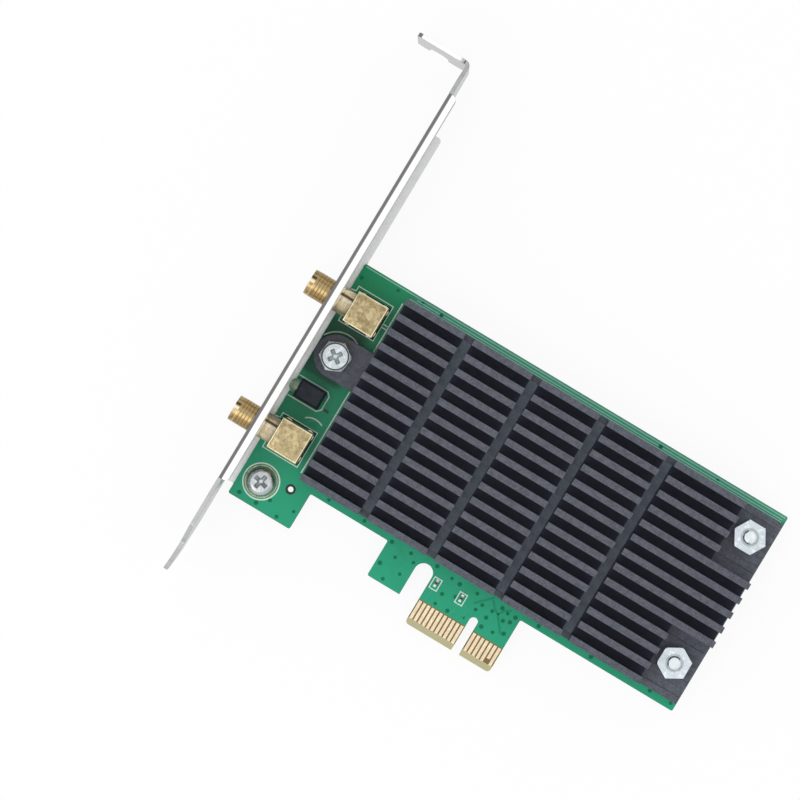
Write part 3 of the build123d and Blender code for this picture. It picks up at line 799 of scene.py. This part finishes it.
@dataclass(frozen=True)
class Moulding(Finish):
    """Moulded plastic or fired body, with end caps of solder where it is a chip part."""

    dusty: float = 0.1
    gloss: float = 0.5
    cap_rows: tuple[Point, ...] = ()
    cap: Colour = (0.62, 0.62, 0.60)
    dust: Colour = (0.30, 0.31, 0.32)

    def paint(self, graph: MaterialGraph) -> None:
        """Paints the moulded surface, and the caps outside each body's middle.

        Args:
            graph: the material's nodes.
        """
        grain = graph.grain(6.0)
        colour = graph.over(self.colour, self.dust, graph.stains(1.6, 0.35), self.dusty)
        colour = graph.over(colour, shade(self.colour, 1.6), grain, 0.2)
        for middle, half in self.cap_rows:
            away = graph.unsigned(graph.less(graph.y, middle))
            colour = graph.mix(graph.ramp(away, half - 0.02, half + 0.02), colour, self.cap)
        graph.set("Base Color", colour)
        graph.set("Roughness", graph.ramp(grain, 0.0, 1.0, self.rough, self.rough + 0.12))
        graph.set("Specular IOR Level", self.gloss)
        graph.relief(grain, 0.010, 0.08)


@dataclass(frozen=True)
class Resin(Finish):
    """Tinted clear resin of the lamp."""

    bend: float = 1.52
    clear: float = 0.55

    def paint(self, graph: MaterialGraph) -> None:
        """Paints a tinted, partly clear body with faint swirls.

        Args:
            graph: the material's nodes.
        """
        swirl = graph.noise(graph.position, 0.8, 3.0)
        graph.set("Base Color", graph.over(self.colour, shade(self.colour, 1.5, 1.0), swirl, 0.5))
        graph.set("Roughness", self.rough)
        graph.set("IOR", self.bend)
        graph.set("Transmission Weight", self.clear)
        graph.relief(swirl, 0.005)


MASK = SolderMask("solder_mask", (0.001, 0.300, 0.125), 0.28)
MASKED_TRACK = Ink("masked_track", (0.05, 0.42, 0.25), 0.28)
# The edge tracks' pale colour is a painted sheen.
LIT_TRACK = Ink("lit_track", (0.32, 0.70, 0.56), 0.3)
SUNK_TRACK = Ink("sunk_track", (0.010, 0.305, 0.155), 0.35)
DEEP_MASK = Ink("deep_mask", (0.000, 0.190, 0.085), 0.5)
# A painted contact shadow round the jack blocks.
JACK_SHADOW_INK = Ink("painted_jack_shadow", (0.003, 0.055, 0.030), 0.5)
PORE = Ink("dark_rim", (0.035, 0.045, 0.035), 0.4)
WHITE_INK = Ink("white_ink", (0.80, 0.95, 0.87), 0.55)
JACK_GOLD = TurnedGold("jack_gold", (0.41, 0.335, 0.19), 0.27, mottle=0.8, rimmed=0.85)
THREAD_GOLD = TurnedGold("thread_gold", (0.95, 0.78, 0.42), 0.22, (0.30, 0.16, 0.05), 0.25, 0.0, share=0.4)
CONTACT_GOLD = Gold("contact_gold", (0.74, 0.62, 0.43), 0.26, (0.48, 0.36, 0.20), 0.35, 0.1, 0.35)
DULL_GOLD = Gold("dull_gold", (0.34, 0.36, 0.24), 0.4, (0.12, 0.14, 0.08), 0.5, 0.1)
NUT_ZINC = Zinc("nut_zinc", (0.62, 0.68, 0.72), 0.30, edge=0.55)
SCREW_END_ZINC = Zinc("screw_end_zinc", (0.72, 0.78, 0.81), 0.3)
SHADED_ZINC = Zinc("shaded_zinc", (0.42, 0.47, 0.49), 0.38)
HEX_ZINC = Zinc("hex_head_zinc", (0.53, 0.57, 0.59), 0.28, lined=0.8, groove=(2.60, 2.84))
PAN_ZINC = Zinc("pan_head_zinc", (0.46, 0.49, 0.50), 0.28, lined=0.8)
COUPLING_CERAMIC = Moulding("coupling_ceramic", (0.05, 0.038, 0.028), 0.4, 0.0, 0.5, ((10.3, 0.26),))


class Slot(Enum):
    """The record's material slots and the finish that each one has."""

    board = MASK
    gold = JACK_GOLD
    bracket = PlatedSheet("plated_sheet", (0.50, 0.51, 0.51), 0.32)
    heatsink = Anodised("black_anodised", (0.086, 0.092, 0.116), 0.42)
    screw = Zinc("bright_zinc", (0.37, 0.41, 0.43), 0.28)
    insulator = Moulding("white_insulator", (0.80, 0.79, 0.75), 0.45, 0.0)
    black_plastic = Moulding("black_moulding", (0.010, 0.016, 0.024), 0.42, 0.05, 0.25)
    lamp = Resin("lamp_resin", (0.44, 0.60, 0.42), 0.12)
    lead = Zinc("tinned_lead", (0.72, 0.72, 0.70), 0.30)
    chip = Moulding("chip_body", (0.028, 0.028, 0.030), 0.5)
    chip_ceramic = Moulding("fired_ceramic", (0.06, 0.045, 0.03), 0.4, 0.0)
    pad = Moulding("silicone_pad", (0.42, 0.46, 0.50), 0.7, 0.0)


# Geometry Nodes


class Builder(Graph):
    """A Geometry Nodes tree with named inputs, run on a small mesh and turned into a plain one."""

    kinds = {float: "NodeSocketFloat", int: "NodeSocketInt", Vector: "NodeSocketVector"}

    def __init__(self, name: str, **sizes: object) -> None:
        """Starts a tree with an input for each size, in metres or turns.

        Args:
            name: the tree's name.
            sizes: each input's name and first value.
        """
        super().__init__(bpy.data.node_groups.new(name, "GeometryNodeTree"))
        sockets = self.tree.interface
        sockets.new_socket("Geometry", in_out="INPUT", socket_type="NodeSocketGeometry")
        self.ids = {}
        for label, value in {**sizes, "finish": None}.items():
            kind = "NodeSocketMaterial" if value is None else self.kinds[type(value)]
            made = sockets.new_socket(label, in_out="INPUT", socket_type=kind)
            self.ids[label] = made.identifier
            if value is not None:
                made.default_value = value
        sockets.new_socket("Geometry", in_out="OUTPUT", socket_type="NodeSocketGeometry")
        self.inputs = self.add("NodeGroupInput").outputs

    def section(self) -> Socket:
        """An oblong profile of the tree's width and thickness."""
        feeds = {"Width": self.inputs["width"], "Height": self.inputs["thickness"]}
        return self.add("GeometryNodeCurvePrimitiveQuadrilateral", feeds).outputs[0]

    def upright(self, curve: Socket) -> Socket:
        """The curve with its profile held level."""
        return self.add("GeometryNodeSetCurveNormal", {0: curve}, mode="Z_UP").outputs[0]

    def sweep(self, curve: Socket, profile: Socket, capped: bool) -> Socket:
        """The profile swept along the curve."""
        feeds = {"Curve": curve, "Profile Curve": profile, "Fill Caps": capped}
        return self.add("GeometryNodeCurveToMesh", feeds).outputs[0]

    def spread(self, shape: Socket, **feeds: object) -> Socket:
        """The shape on each of the starting points."""
        feeds = {"Points": self.inputs["Geometry"], "Instance": shape, **feeds}
        return self.add("GeometryNodeInstanceOnPoints", feeds).outputs[0]

    def close(self, shape: Socket) -> "Builder":
        """Ends the tree in Realize Instances and Set Material.

        Args:
            shape: the geometry to put out.

        Returns:
            The builder.
        """
        whole = self.add("GeometryNodeRealizeInstances", {0: shape}).outputs[0]
        dressed = self.add("GeometryNodeSetMaterial", {"Geometry": whole, "Material": self.inputs["finish"]})
        self.add("NodeGroupOutput", {0: dressed.outputs[0]})
        return self

    def run(self, name: str, mesh: bpy.types.Mesh, slot: Slot, finish: Finish | None = None,
            **sizes: object) -> bpy.types.Object:
        """Runs the tree on a mesh and adds the result to the card.

        Args:
            name: the new piece's name.
            mesh: the points or lines that the tree starts from, in metres.
            slot: the record's material slot of the piece.
            finish: its finish, where it isn't the slot's own.
            sizes: values for the tree's inputs.

        Returns:
            The finished piece.
        """
        piece = add_piece(name, mesh)
        modifier = piece.modifiers.new("build", "NODES")
        modifier.node_group = self.tree
        for label, value in {**sizes, "finish": (finish or slot.value).material()}.items():
            modifier[self.ids[label]] = value
        settle(piece)
        tidy(piece.data)
        return seat(piece)


def add_piece(name: str, mesh: bpy.types.Mesh) -> bpy.types.Object:
    """Adds an object with a mesh to the scene.

    Args:
        name: the object's name.
        mesh: its mesh, in metres.

    Returns:
        The object.
    """
    piece = bpy.data.objects.new(name, mesh)
    bpy.context.scene.collection.objects.link(piece)
    return piece


def settle(piece: bpy.types.Object) -> None:
    """Makes what a piece's modifiers give its own mesh, and removes them.

    Args:
        piece: the piece with its modifiers.
    """
    made = bpy.data.meshes.new_from_object(piece.evaluated_get(bpy.context.evaluated_depsgraph_get()))
    piece.modifiers.clear()
    piece.data = made


def tidy(mesh: bpy.types.Mesh, sharp: float = 35.0) -> None:
    """Merges doubles, turns faces outwards and smooths what is flatter than the sharp angle.

    Args:
        mesh: the mesh to change.
        sharp: the angle in degrees from which an edge stays sharp.
    """
    work = bmesh.new()
    work.from_mesh(mesh)
    bmesh.ops.remove_doubles(work, verts=work.verts, dist=1e-7)
    bmesh.ops.recalc_face_normals(work, faces=work.faces)
    work.to_mesh(mesh)
    work.free()
    mesh.shade_smooth()
    mesh.set_sharp_from_angle(angle=math.radians(sharp))


def seat(piece: bpy.types.Object) -> bpy.types.Object:
    """Lets a piece ride on the card, and reports it.

    Args:
        piece: the finished piece.

    Returns:
        The piece.
    """
    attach(piece, BODY)
    log.info("%s: %d faces", piece.name, len(piece.data.polygons))
    return piece


def strip_builder() -> Builder:
    """Flat strips of a given width that follow lines.

    Returns:
        The tree's builder.
    """
    build = Builder("strips", width=0.0002, thickness=0.00005)
    line = build.add("GeometryNodeMeshToCurve", {0: build.inputs["Geometry"]}).outputs[0]
    return build.close(build.sweep(build.upright(line), build.section(), True))


def ring_builder() -> Builder:
    """A flat ring on each point.

    Returns:
        The tree's builder.
    """
    build = Builder("rings", radius=0.0005, width=0.0003, thickness=0.00005, sides=24)
    feeds = {"Resolution": build.inputs["sides"], "Radius": build.inputs["radius"]}
    circle = build.add("GeometryNodeCurvePrimitiveCircle", feeds).outputs[0]
    return build.close(build.spread(build.sweep(build.upright(circle), build.section(), False)))


def dot_builder() -> Builder:
    """A flat round dot on each point, a little unlike its neighbours in size.

    Returns:
        The tree's builder.
    """
    smallest, largest = 0.85, 1.15
    build = Builder("dots", radius=0.0004, thickness=0.00005, sides=16, seed=7)
    ins = build.inputs
    feeds = {"Vertices": ins["sides"], "Radius": ins["radius"], "Depth": ins["thickness"]}
    dot = build.add("GeometryNodeMeshCylinder", feeds).outputs[0]
    feeds = {2: smallest, 3: largest, 8: ins["seed"]}
    size = build.add("FunctionNodeRandomValue", feeds, data_type="FLOAT").outputs[1]
    return build.close(build.spread(dot, Scale=size))


def pad_builder() -> Builder:
    """A flat oblong pad on each point.

    Returns:
        The tree's builder.
    """
    build = Builder("pads", size=Vector((0.0005, 0.0003, 0.00004)))
    pad = build.add("GeometryNodeMeshCube", {"Size": build.inputs["size"]}).outputs[0]
    return build.close(build.spread(pad))


def thread_builder() -> Builder:
    """A helical ridge about X, starting at each point.

    Returns:
        The tree's builder.
    """
    foot_share, crest_share, buried = 0.47, 0.10, -0.15
    build = Builder("thread", root=0.0028, depth=0.0003, pitch=0.0007, turns=6.0)
    ins = build.inputs
    length = build.times(ins["pitch"], ins["turns"])
    feeds = {"Resolution": 48, "Rotations": ins["turns"], "Start Radius": ins["root"],
             "End Radius": ins["root"], "Height": length}
    spiral = build.add("GeometryNodeCurveSpiral", feeds).outputs[0]
    foot = build.times(ins["pitch"], foot_share)
    crest = build.times(ins["pitch"], crest_share)
    corners = [(-1, foot, buried), (-1, crest, 1.0), (1, crest, 1.0), (1, foot, buried)]
    feeds = {}
    for number, (side, along, up) in enumerate(corners, 1):
        corner = {0: build.times(ins["depth"], up), 1: build.times(along, side)}
        feeds[f"Point {number}"] = build.add("ShaderNodeCombineXYZ", corner).outputs[0]
    profile = build.add("GeometryNodeCurvePrimitiveQuadrilateral", feeds, mode="POINTS").outputs[0]
    ridge = build.sweep(build.upright(spiral), profile, True)
    turn = build.add("FunctionNodeEulerToRotation", {0: (0.0, math.radians(90), 0.0)}).outputs[0]
    return build.close(build.spread(ridge, Rotation=turn))


STRIPS = strip_builder()
RINGS = ring_builder()
DOTS = dot_builder()
PADS = pad_builder()
THREAD = thread_builder()


def lines_mesh(paths: list[list[Point]], height: float) -> bpy.types.Mesh:
    """Lines through points at one height, closed where a path ends on its first point.

    Args:
        paths: each line's points in millimetres.
        height: their height in millimetres.

    Returns:
        A mesh of edges in metres.
    """
    places, edges = [], []
    for path in paths:
        closed = path[0] == path[-1]
        points = path[:-1] if closed else path
        first = len(places)
        places += [(x * MM, y * MM, height * MM) for x, y in points]
        edges += [(first + n, first + n + 1) for n in range(len(points) - 1)]
        if closed:
            edges.append((first + len(points) - 1, first))
    mesh = bpy.data.meshes.new("lines")
    mesh.from_pydata(places, edges, [])
    return mesh


def points_mesh(places: list[tuple[float, float, float]]) -> bpy.types.Mesh:
    """Loose points.

    Args:
        places: the points in millimetres.

    Returns:
        A mesh of points in metres.
    """
    mesh = bpy.data.meshes.new("points")
    mesh.from_pydata([tuple(v * MM for v in place) for place in places], [], [])
    return mesh


def arc(centre: Point, radius: float, start: float, end: float, steps: int = 48) -> list[Point]:
    """Points along an arc, closed if it is a full turn.

    Args:
        centre: the arc's centre.
        radius: its radius.
        start: the angle of its first point, in degrees.
        end: the angle of its last point, in degrees.
        steps: how many straight pieces it has.

    Returns:
        The points.
    """
    angles = [math.radians(start + (end - start) * n / steps) for n in range(steps + 1)]
    points = [(centre[0] + radius * math.cos(a), centre[1] + radius * math.sin(a)) for a in angles]
    if abs(end - start) >= 360:
        points[-1] = points[0]
    return points


def box_path(left: float, bottom: float, right: float, top: float) -> list[Point]:
    """A closed oblong."""
    return [(left, bottom), (right, bottom), (right, top), (left, top), (left, bottom)]


# Sub-assemblies


@dataclass
class BoardArtwork:
    """Tracks, holes, pads, printed lines and painted contact shadows on the two faces of the circuit board.
    """

    face: float = 1.57
    back: float = 0.0
    pocket_floor: float = 8.32
    line: float = 0.29
    via: float = 0.42
    skin: float = 0.05
    outline_lows: Point = (16.0, 46.4)
    tooling_hole: Point = (-46.4, 11.4)
    leg_middle: float = -51.55
    leg_half: float = 2.54
    nuts: tuple[Point, ...] = ((39.3, 21.7), (39.3, 51.7))
    capacitors: tuple[float, ...] = (-10.7, -4.65)
    capacitor_y: float = 10.3
    vias: tuple[Point, ...] = (
        (-22.9, 12.9), (-18.3, 12.9), (-16.9, 11.5), (-20.7, 10.5), (-22.8, 7.9), (-18.1, 8.0), (-20.6, 5.4),
        (-12.3, 13.4), (-8.4, 12.8), (-6.4, 12.6), (-2.3, 12.8), (-5.8, 9.9), (-8.5, 9.0), (-8.7, 6.6),
        (-5.8, 6.6), (1.8, 9.5), (1.9, 7.4), (4.5, 7.6), (6.5, 11.2), (-0.9, 9.8), (-0.2, 11.3), (3.7, 12.9),
        (5.2, 12.5), (7.0, 12.6), (5.1, 10.7), (-2.3, 7.1), (2.2, 11.3), (6.6, 8.5), (-55.2, 5.5),
        (-51.1, 5.4), (-46.0, 5.1), (-43.5, 7.8), (-48.9, 7.3), (-56.3, 56.4), (-48.5, 58.0), (-42.8, 58.4),
        (-38.2, 58.2), (28.1, 58.4), (38.5, 14.0), (43.5, 14.0), (12.0, 13.6), (24.5, 13.7), (-30.0, 13.7),
        (-38.5, 13.6), (14.5, 58.3))

    def printed_lines(self) -> list[list[Point]]:
        """Lines of white ink on the component face.

        Returns:
            Each line's points.
        """
        paths = [[(-57.0, low + 6.9), (-55.9, low + 7.1), (-55.9, low + 8.2), (-47.6, low + 8.2),
                  (-47.6, low), (-55.9, low), (-55.9, low + 1.2)] for low in self.outline_lows]
        paths += [[(-46.3, 15.4), (-46.3, 35.0)], [(-46.3, 44.4), (-46.3, 56.2)]]
        paths.append([(-57.0, 32.65), (-50.2, 32.65), (-49.4, 31.8), (-49.4, 28.7), (-50.2, 27.9),
                      (-57.0, 27.9)])
        paths += [arc(BOARD_SCREW, 3.8, 0, 360), arc(LUG_SCREW, 5.15, 62, 150, 16)]
        paths += [box_path(-11.55, 8.85, -9.85, 11.35), box_path(-5.5, 8.95, -3.8, 11.4)]
        paths += [[(-47.5, 50.45), (-46.5, 50.45)], [(-47.5, 49.75), (-46.5, 49.75)]]
        return paths + [arc((-49.3, 23.0), 3.4, 130, 60, 10)]

    def tracks(self) -> list[list[Point]]:
        """Copper tracks that show through the mask.

        Returns:
            Each track's points.
        """
        return [[(-4.65, 8.9), (-4.65, 7.4), (-5.2, 6.2)], [(-10.7, 8.8), (-10.7, 6.4)],
                [(-2.4, 6.2), (-2.4, 8.6), (-3.4, 9.6)], [(-45.9, 26.4), (-48.5, 26.4), (-50.6, 25.4)],
                [(-47.0, 29.0), (-46.4, 29.0)]]

    def back_tracks(self) -> list[list[Point]]:
        """Tracks on the solder side, fanned from the connector to the chips.

        Returns:
            Each track's points.
        """
        paths = []
        for n in range(7):
            low, high = -10.5 + 1.0 * n, -18.0 + 1.6 * n
            paths.append([(low, 6.4), (low, 12.0 + 0.5 * n), (high, 20.0 + 0.5 * n), (high, 30.0 + 1.4 * n)])
        for n in range(5):
            low, side = 2.0 + 1.0 * n, 14.0 + 1.3 * n
            paths.append([(low, 6.4), (low, 11.0), (side, 22.0), (side, 38.0 - 1.5 * n), (side + 9.0, 46.0)])
        paths += [[(-51.5, y), (-44.0, y), (-34.0, 36.0 + 0.06 * y)] for y in JACKS.values()]
        paths.append([(-48.4, 29.0), (-40.0, 29.0), (-30.0, 33.0)])
        paths.append([(-36.0, 54.0), (-8.0, 54.0), (2.0, 47.0), (30.0, 47.0)])
        return paths

    def back_vias(self) -> tuple[Point, ...]:
        """Rows of holes that stitch the ground copper behind the heatsink."""
        return tuple((-38.0 + 9.5 * n + 2.0 * (row % 2), 17.5 + 9.2 * row)
                     for row in range(5) for n in range(8))

    def edge_tracks(self) -> list[list[Point]]:
        """Ground tracks along the upper edge, thinly covered, drawn pale: the paleness is a painted sheen."""
        return [[(-56.6, 58.85), (44.1, 58.85)], [(-44.0, 58.2), (43.8, 58.2)],
                [(-45.5, 57.72), (43.9, 57.72)]]

    def sunk_tracks(self) -> list[list[Point]]:
        """Gaps in the copper beside the key notch."""
        return [[(1.2, 13.4), (2.2, 12.2), (3.5, 11.3), (4.4, 10.2), (5.3, 9.1), (6.0, 8.0)],
                [(-1.9, 10.8), (-0.1, 12.6), (1.2, 14.0)], [(3.5, 11.3), (4.3, 12.6), (5.6, 13.4)]]

    def strips(self, name: str, paths: list[list[Point]], finish: Finish, width: float, thick: float,
               height: float | None = None) -> None:
        """Lays strips along lines on the board.

        Args:
            name: the piece's name.
            paths: each line's points.
            finish: what the strips are printed or covered with.
            width: their width.
            thick: their thickness.
            height: the height of the face, where it isn't the component face.
        """
        mesh = lines_mesh(paths, self.face if height is None else height)
        STRIPS.run(name, mesh, Slot.board, finish, width=width * MM, thickness=thick * MM)

    def dots(self, name: str, places: tuple[Point, ...], height: float) -> None:
        """Lays a covered via on each place of a face."""
        mesh = points_mesh([(x, y, height) for x, y in places])
        DOTS.run(name, mesh, Slot.board, DEEP_MASK, radius=self.via * MM, thickness=self.skin * MM)

    def rings(self, name: str, places: list[tuple[float, float, float]], slot: Slot, finish: Finish,
              radius: float, width: float, thick: float, sides: int) -> None:
        """Lays a ring on each place.

        Args:
            name: the piece's name.
            places: the rings' middles.
            slot: the record's material slot of the rings.
            finish: what the rings are made of.
            radius: the radius of their middle line.
            width: their width.
            thick: their thickness.
            sides: how many sides each one has.
        """
        sizes = {"radius": radius * MM, "width": width * MM, "thickness": thick * MM, "sides": sides}
        RINGS.run(name, points_mesh(places), slot, finish, **sizes)

    def build(self) -> None:
        """Lays every line, ring and dot on the board."""
        self.strips("board_printed_lines", self.printed_lines(), WHITE_INK, self.line, 0.09)
        self.strips("board_tracks", self.tracks(), MASKED_TRACK, 0.2, self.skin)
        self.strips("board_edge_tracks", self.edge_tracks(), LIT_TRACK, 0.22, self.skin)
        self.strips("board_sunk_tracks", self.sunk_tracks(), SUNK_TRACK, 0.46, 0.03)
        # Painted contact shadows: dark frames on the board round each jack's block.
        jack_shadow_paths = [box_path(-55.25, y - 3.7, -47.85, y + 3.7) for y in JACKS.values()]
        self.strips("jack_contact_shadows", jack_shadow_paths, JACK_SHADOW_INK, 0.42, 0.04)
        self.dots("board_vias", self.vias, self.face)
        self.strips("board_tracks_back", self.back_tracks(), MASKED_TRACK, 0.3, self.skin, self.back)
        self.dots("board_vias_back", self.vias + self.back_vias(), self.back)
        self.rings("board_screw_pad", [(*BOARD_SCREW, self.face)], Slot.gold, DULL_GOLD, 3.28, 0.34, 0.06, 64)
        hole = [(*self.tooling_hole, self.face)]
        self.rings("tooling_hole_rim", hole, Slot.board, PORE, 0.85, 0.46, 0.07, 32)
        sides = (-self.leg_half, self.leg_half)
        feet = [(self.leg_middle + dx, y + dy, z) for y in JACKS.values() for dx in sides for dy in sides
                for z in (self.face, self.back)]
        self.rings("jack_leg_pads", feet, Slot.gold, CONTACT_GOLD, 0.98, 0.4, 0.06, 24)
        nuts = [(*nut, self.pocket_floor) for nut in self.nuts]
        self.rings("nut_countersinks", nuts, Slot.screw, SHADED_ZINC, 1.69, 0.38, self.skin, 40)
        ends = [(x, self.capacitor_y + dy, self.face) for x in self.capacitors for dy in (-0.62, 0.62)]
        PADS.run("capacitor_solder", points_mesh(ends), Slot.lead, None, size=Vector((0.6, 0.45, 0.2)) * MM)


@dataclass
class AntennaJack:
    """One gold antenna jack, with a real thread on its barrel."""

    name: str
    y: float
    plain: float = 3.1
    root: float = 2.78
    tip: float = -64.81
    barrel_left_of: float = -57.6
    relief_left: float = -60.01
    pitch: float = 0.7056
    lead: float = 1.0
    runout: float = 0.1

    def shell(self) -> bpy.types.Object:
        """A copy of the CAD shell whose barrel is turned down to the root of the thread.

        Returns:
            The shell.
        """
        node = "antenna_jack_" + self.name
        mesh = frame["nodes"][node].data.copy()
        tidy(mesh)
        for vertex in mesh.vertices:
            x, y, z = (v / MM for v in vertex.co)
            radius = math.hypot(y - self.y, z - JACK_AXIS_Z)
            if x < self.barrel_left_of and radius > self.root:
                share = self.root / radius
                middle = Vector((x, self.y, JACK_AXIS_Z))
                vertex.co = (middle + (Vector((x, y, z)) - middle) * share) * MM
        mesh.materials.clear()
        mesh.materials.append(JACK_GOLD.material())
        piece = add_piece("jack_shell_" + self.name, mesh)
        piece.modifiers.new("even", "WEIGHTED_NORMAL").keep_sharp = True
        settle(piece)
        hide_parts(node)
        return seat(piece)

    def build(self) -> None:
        """Makes the shell and cuts the thread on it."""
        self.shell()
        start = (self.tip + self.lead, self.y, JACK_AXIS_Z)
        turns = (self.relief_left - self.tip - self.lead - self.runout) / self.pitch
        sizes = {"root": self.root * MM, "depth": (self.plain - self.root) * MM, "pitch": self.pitch * MM,
                 "turns": turns}
        THREAD.run("jack_thread_" + self.name, points_mesh([start]), Slot.gold, THREAD_GOLD, **sizes)


@dataclass
class DrivenScrew:
    """A screw with a cross recess, turned about its axis to where the screwdriver left it."""

    node: str
    axis: Point
    finish: Finish
    turn: float = 120.0
    sharp: float = 18.0

    def build(self) -> None:
        """Turns a copy of the CAD screw, whose other forms look the same after a third of a turn."""
        mesh = frame["nodes"][self.node].data.copy()
        held = mesh.attributes.get("custom_normal")
        if held:
            mesh.attributes.remove(held)
        tidy(mesh, self.sharp)
        centre = Vector((*self.axis, 0.0)) * MM
        turned = Matrix.Rotation(math.radians(self.turn), 4, "Z")
        mesh.transform(Matrix.Translation(centre) @ turned @ Matrix.Translation(-centre))
        mesh.materials.clear()
        mesh.materials.append(self.finish.material())
        piece = add_piece("driven_" + self.node, mesh)
        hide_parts(self.node)
        seat(piece)


@dataclass
class CardBody:
    """The CAD pieces that keep their shape and take a finish."""

    special: dict[str, Finish] = field(default_factory=lambda: {
        "edge_contacts_front": CONTACT_GOLD,
        "edge_contacts_back": CONTACT_GOLD,
        "jack_contact_lower": CONTACT_GOLD,
        "jack_contact_upper": CONTACT_GOLD,
        "heatsink_nut_lower": NUT_ZINC,
        "heatsink_nut_upper": NUT_ZINC,
        "heatsink_screw_lower": SCREW_END_ZINC,
        "heatsink_screw_upper": SCREW_END_ZINC,
        "lug_screw": HEX_ZINC,
        "board_screw": PAN_ZINC,
        "coupling_capacitors": COUPLING_CERAMIC,
    })

    def build(self) -> None:
        """Dresses each CAD node in its slot's finish, or in its own."""
        for part in frame["record"]["subparts"]:
            name, slot = part["node"], Slot[part["material_slot"]]
            self.dress(frame["nodes"][name], self.special.get(name, slot.value))
            log.info("%s: %s", name, slot.name)

    def dress(self, piece: bpy.types.Object, finish: Finish) -> None:
        """Puts a finish in a piece's material slots.

        Args:
            piece: the piece to dress.
            finish: its finish.
        """
        if not piece.material_slots:
            piece.data.materials.append(None)
        for slot in piece.material_slots:
            slot.material = finish.material()


# Studio


@dataclass
class Studio:
    """Pale floor, soft light and white surroundings. Places and sizes are in metres."""

    floor_height: float = -0.00192
    floor_half: float = 3.0
    floor_tone: float = 0.95
    glow: float = 0.90
    fill: float = 0.86
    key: float = 0.17
    key_place: tuple[float, float, float] = (-0.24, -0.34, 0.80)
    key_size: float = 0.60
    card_middle: tuple[float, float, float] = (-0.01, 0.04, 0.0)

    def floor(self) -> None:
        """A wide pale floor that keeps the card's shadow."""
        half, low = self.floor_half, self.floor_height
        mesh = bpy.data.meshes.new("floor")
        corners = [(-half, -half, low), (half, -half, low), (half, half, low), (-half, half, low)]
        mesh.from_pydata(corners, [], [(0, 1, 2, 3)])
        material = bpy.data.materials.new("pale_floor")
        material.use_nodes = True
        material.node_tree.nodes.clear()
        graph = Graph(material.node_tree)
        paint = graph.add("ShaderNodeBsdfDiffuse", {"Color": (self.floor_tone,) * 3}).outputs[0]
        glow = graph.add("ShaderNodeEmission", {"Color": (1.0, 1.0, 1.0), "Strength": 1.0}).outputs[0]
        share = graph.times(self.seen(graph), self.glow)
        both = graph.add("ShaderNodeMixShader", {0: share, 1: paint, 2: glow}).outputs[0]
        graph.add("ShaderNodeOutputMaterial", {"Surface": both})
        mesh.materials.append(material)
        add_piece("floor", mesh)

    def seen(self, graph: Graph) -> Socket:
        """Tells what looks at a surface.

        Args:
            graph: the nodes to add to.

        Returns:
            1 for rays from the camera, a mirror or glass, and 0 for others.
        """
        path = graph.add("ShaderNodeLightPath").outputs
        mirror = graph.larger(path["Is Glossy Ray"], path["Is Transmission Ray"])
        return graph.larger(path["Is Camera Ray"], mirror)

    def surroundings(self) -> None:
        """White surroundings to look at, and a lower level that lights the card."""
        world = bpy.context.scene.world or bpy.data.worlds.new("surroundings")
        bpy.context.scene.world = world
        world.use_nodes = True
        world.node_tree.nodes.clear()
        graph = Graph(world.node_tree)
        level = graph.ramp(self.seen(graph), 0.0, 1.0, self.fill, 1.0)
        sky = graph.add("ShaderNodeBackground", {"Color": (1.0, 1.0, 1.0), "Strength": level}).outputs[0]
        graph.add("ShaderNodeOutputWorld", {"Surface": sky})

    def lamp(self) -> None:
        """A square soft lamp whose level is the share of a white surface's light that it gives the card."""
        data = bpy.data.lights.new("key", "AREA")
        data.size = self.key_size
        spot = Vector(self.key_place)
        away = spot - Vector(self.card_middle)
        slope = away.z / away.length
        data.energy = self.key * math.pi * math.pi * away.length_squared / slope
        lamp = bpy.data.objects.new("key", data)
        lamp.location = spot
        lamp.rotation_euler = away.to_track_quat("Z", "Y").to_euler()
        bpy.context.scene.collection.objects.link(lamp)

    def build(self) -> None:
        """Sets up floor, surroundings and lamp."""
        self.floor()
        self.surroundings()
        self.lamp()
        bpy.context.scene.view_settings.view_transform = "Standard"


@dataclass
class PhotoCamera:
    """The camera, straight above the card and turned as the photograph is."""

    above: Point = (-31.85, 46.75)
    height: float = 751.57
    turn: float = 31.0
    lens: float = 163.6
    sensor: float = 36.0
    shift: Point = (-0.0491, -0.0264)

    def build(self) -> None:
        """Makes the camera and sets it as the scene's."""
        data = bpy.data.cameras.new("camera")
        data.lens, data.sensor_width = self.lens, self.sensor
        data.shift_x, data.shift_y = self.shift
        data.clip_start, data.clip_end = 0.01, 20.0
        camera = bpy.data.objects.new("camera", data)
        camera.location = Vector((*self.above, self.height)) * MM
        camera.rotation_euler = (0.0, 0.0, math.radians(self.turn))
        bpy.context.scene.collection.objects.link(camera)
        bpy.context.scene.camera = camera


def main() -> None:
    """Builds the camera, the card's dress and the studio in order."""
    logging.basicConfig(level=logging.INFO, format="%(name)s %(message)s")
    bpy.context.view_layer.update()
    PhotoCamera().build()
    CardBody().build()
    BoardArtwork().build()
    for name, y in JACKS.items():
        AntennaJack(name, y).build()
    DrivenScrew("lug_screw", LUG_SCREW, HEX_ZINC).build()
    DrivenScrew("board_screw", BOARD_SCREW, PAN_ZINC).build()
    Studio().build()


if __name__ == "__main__":
    main()
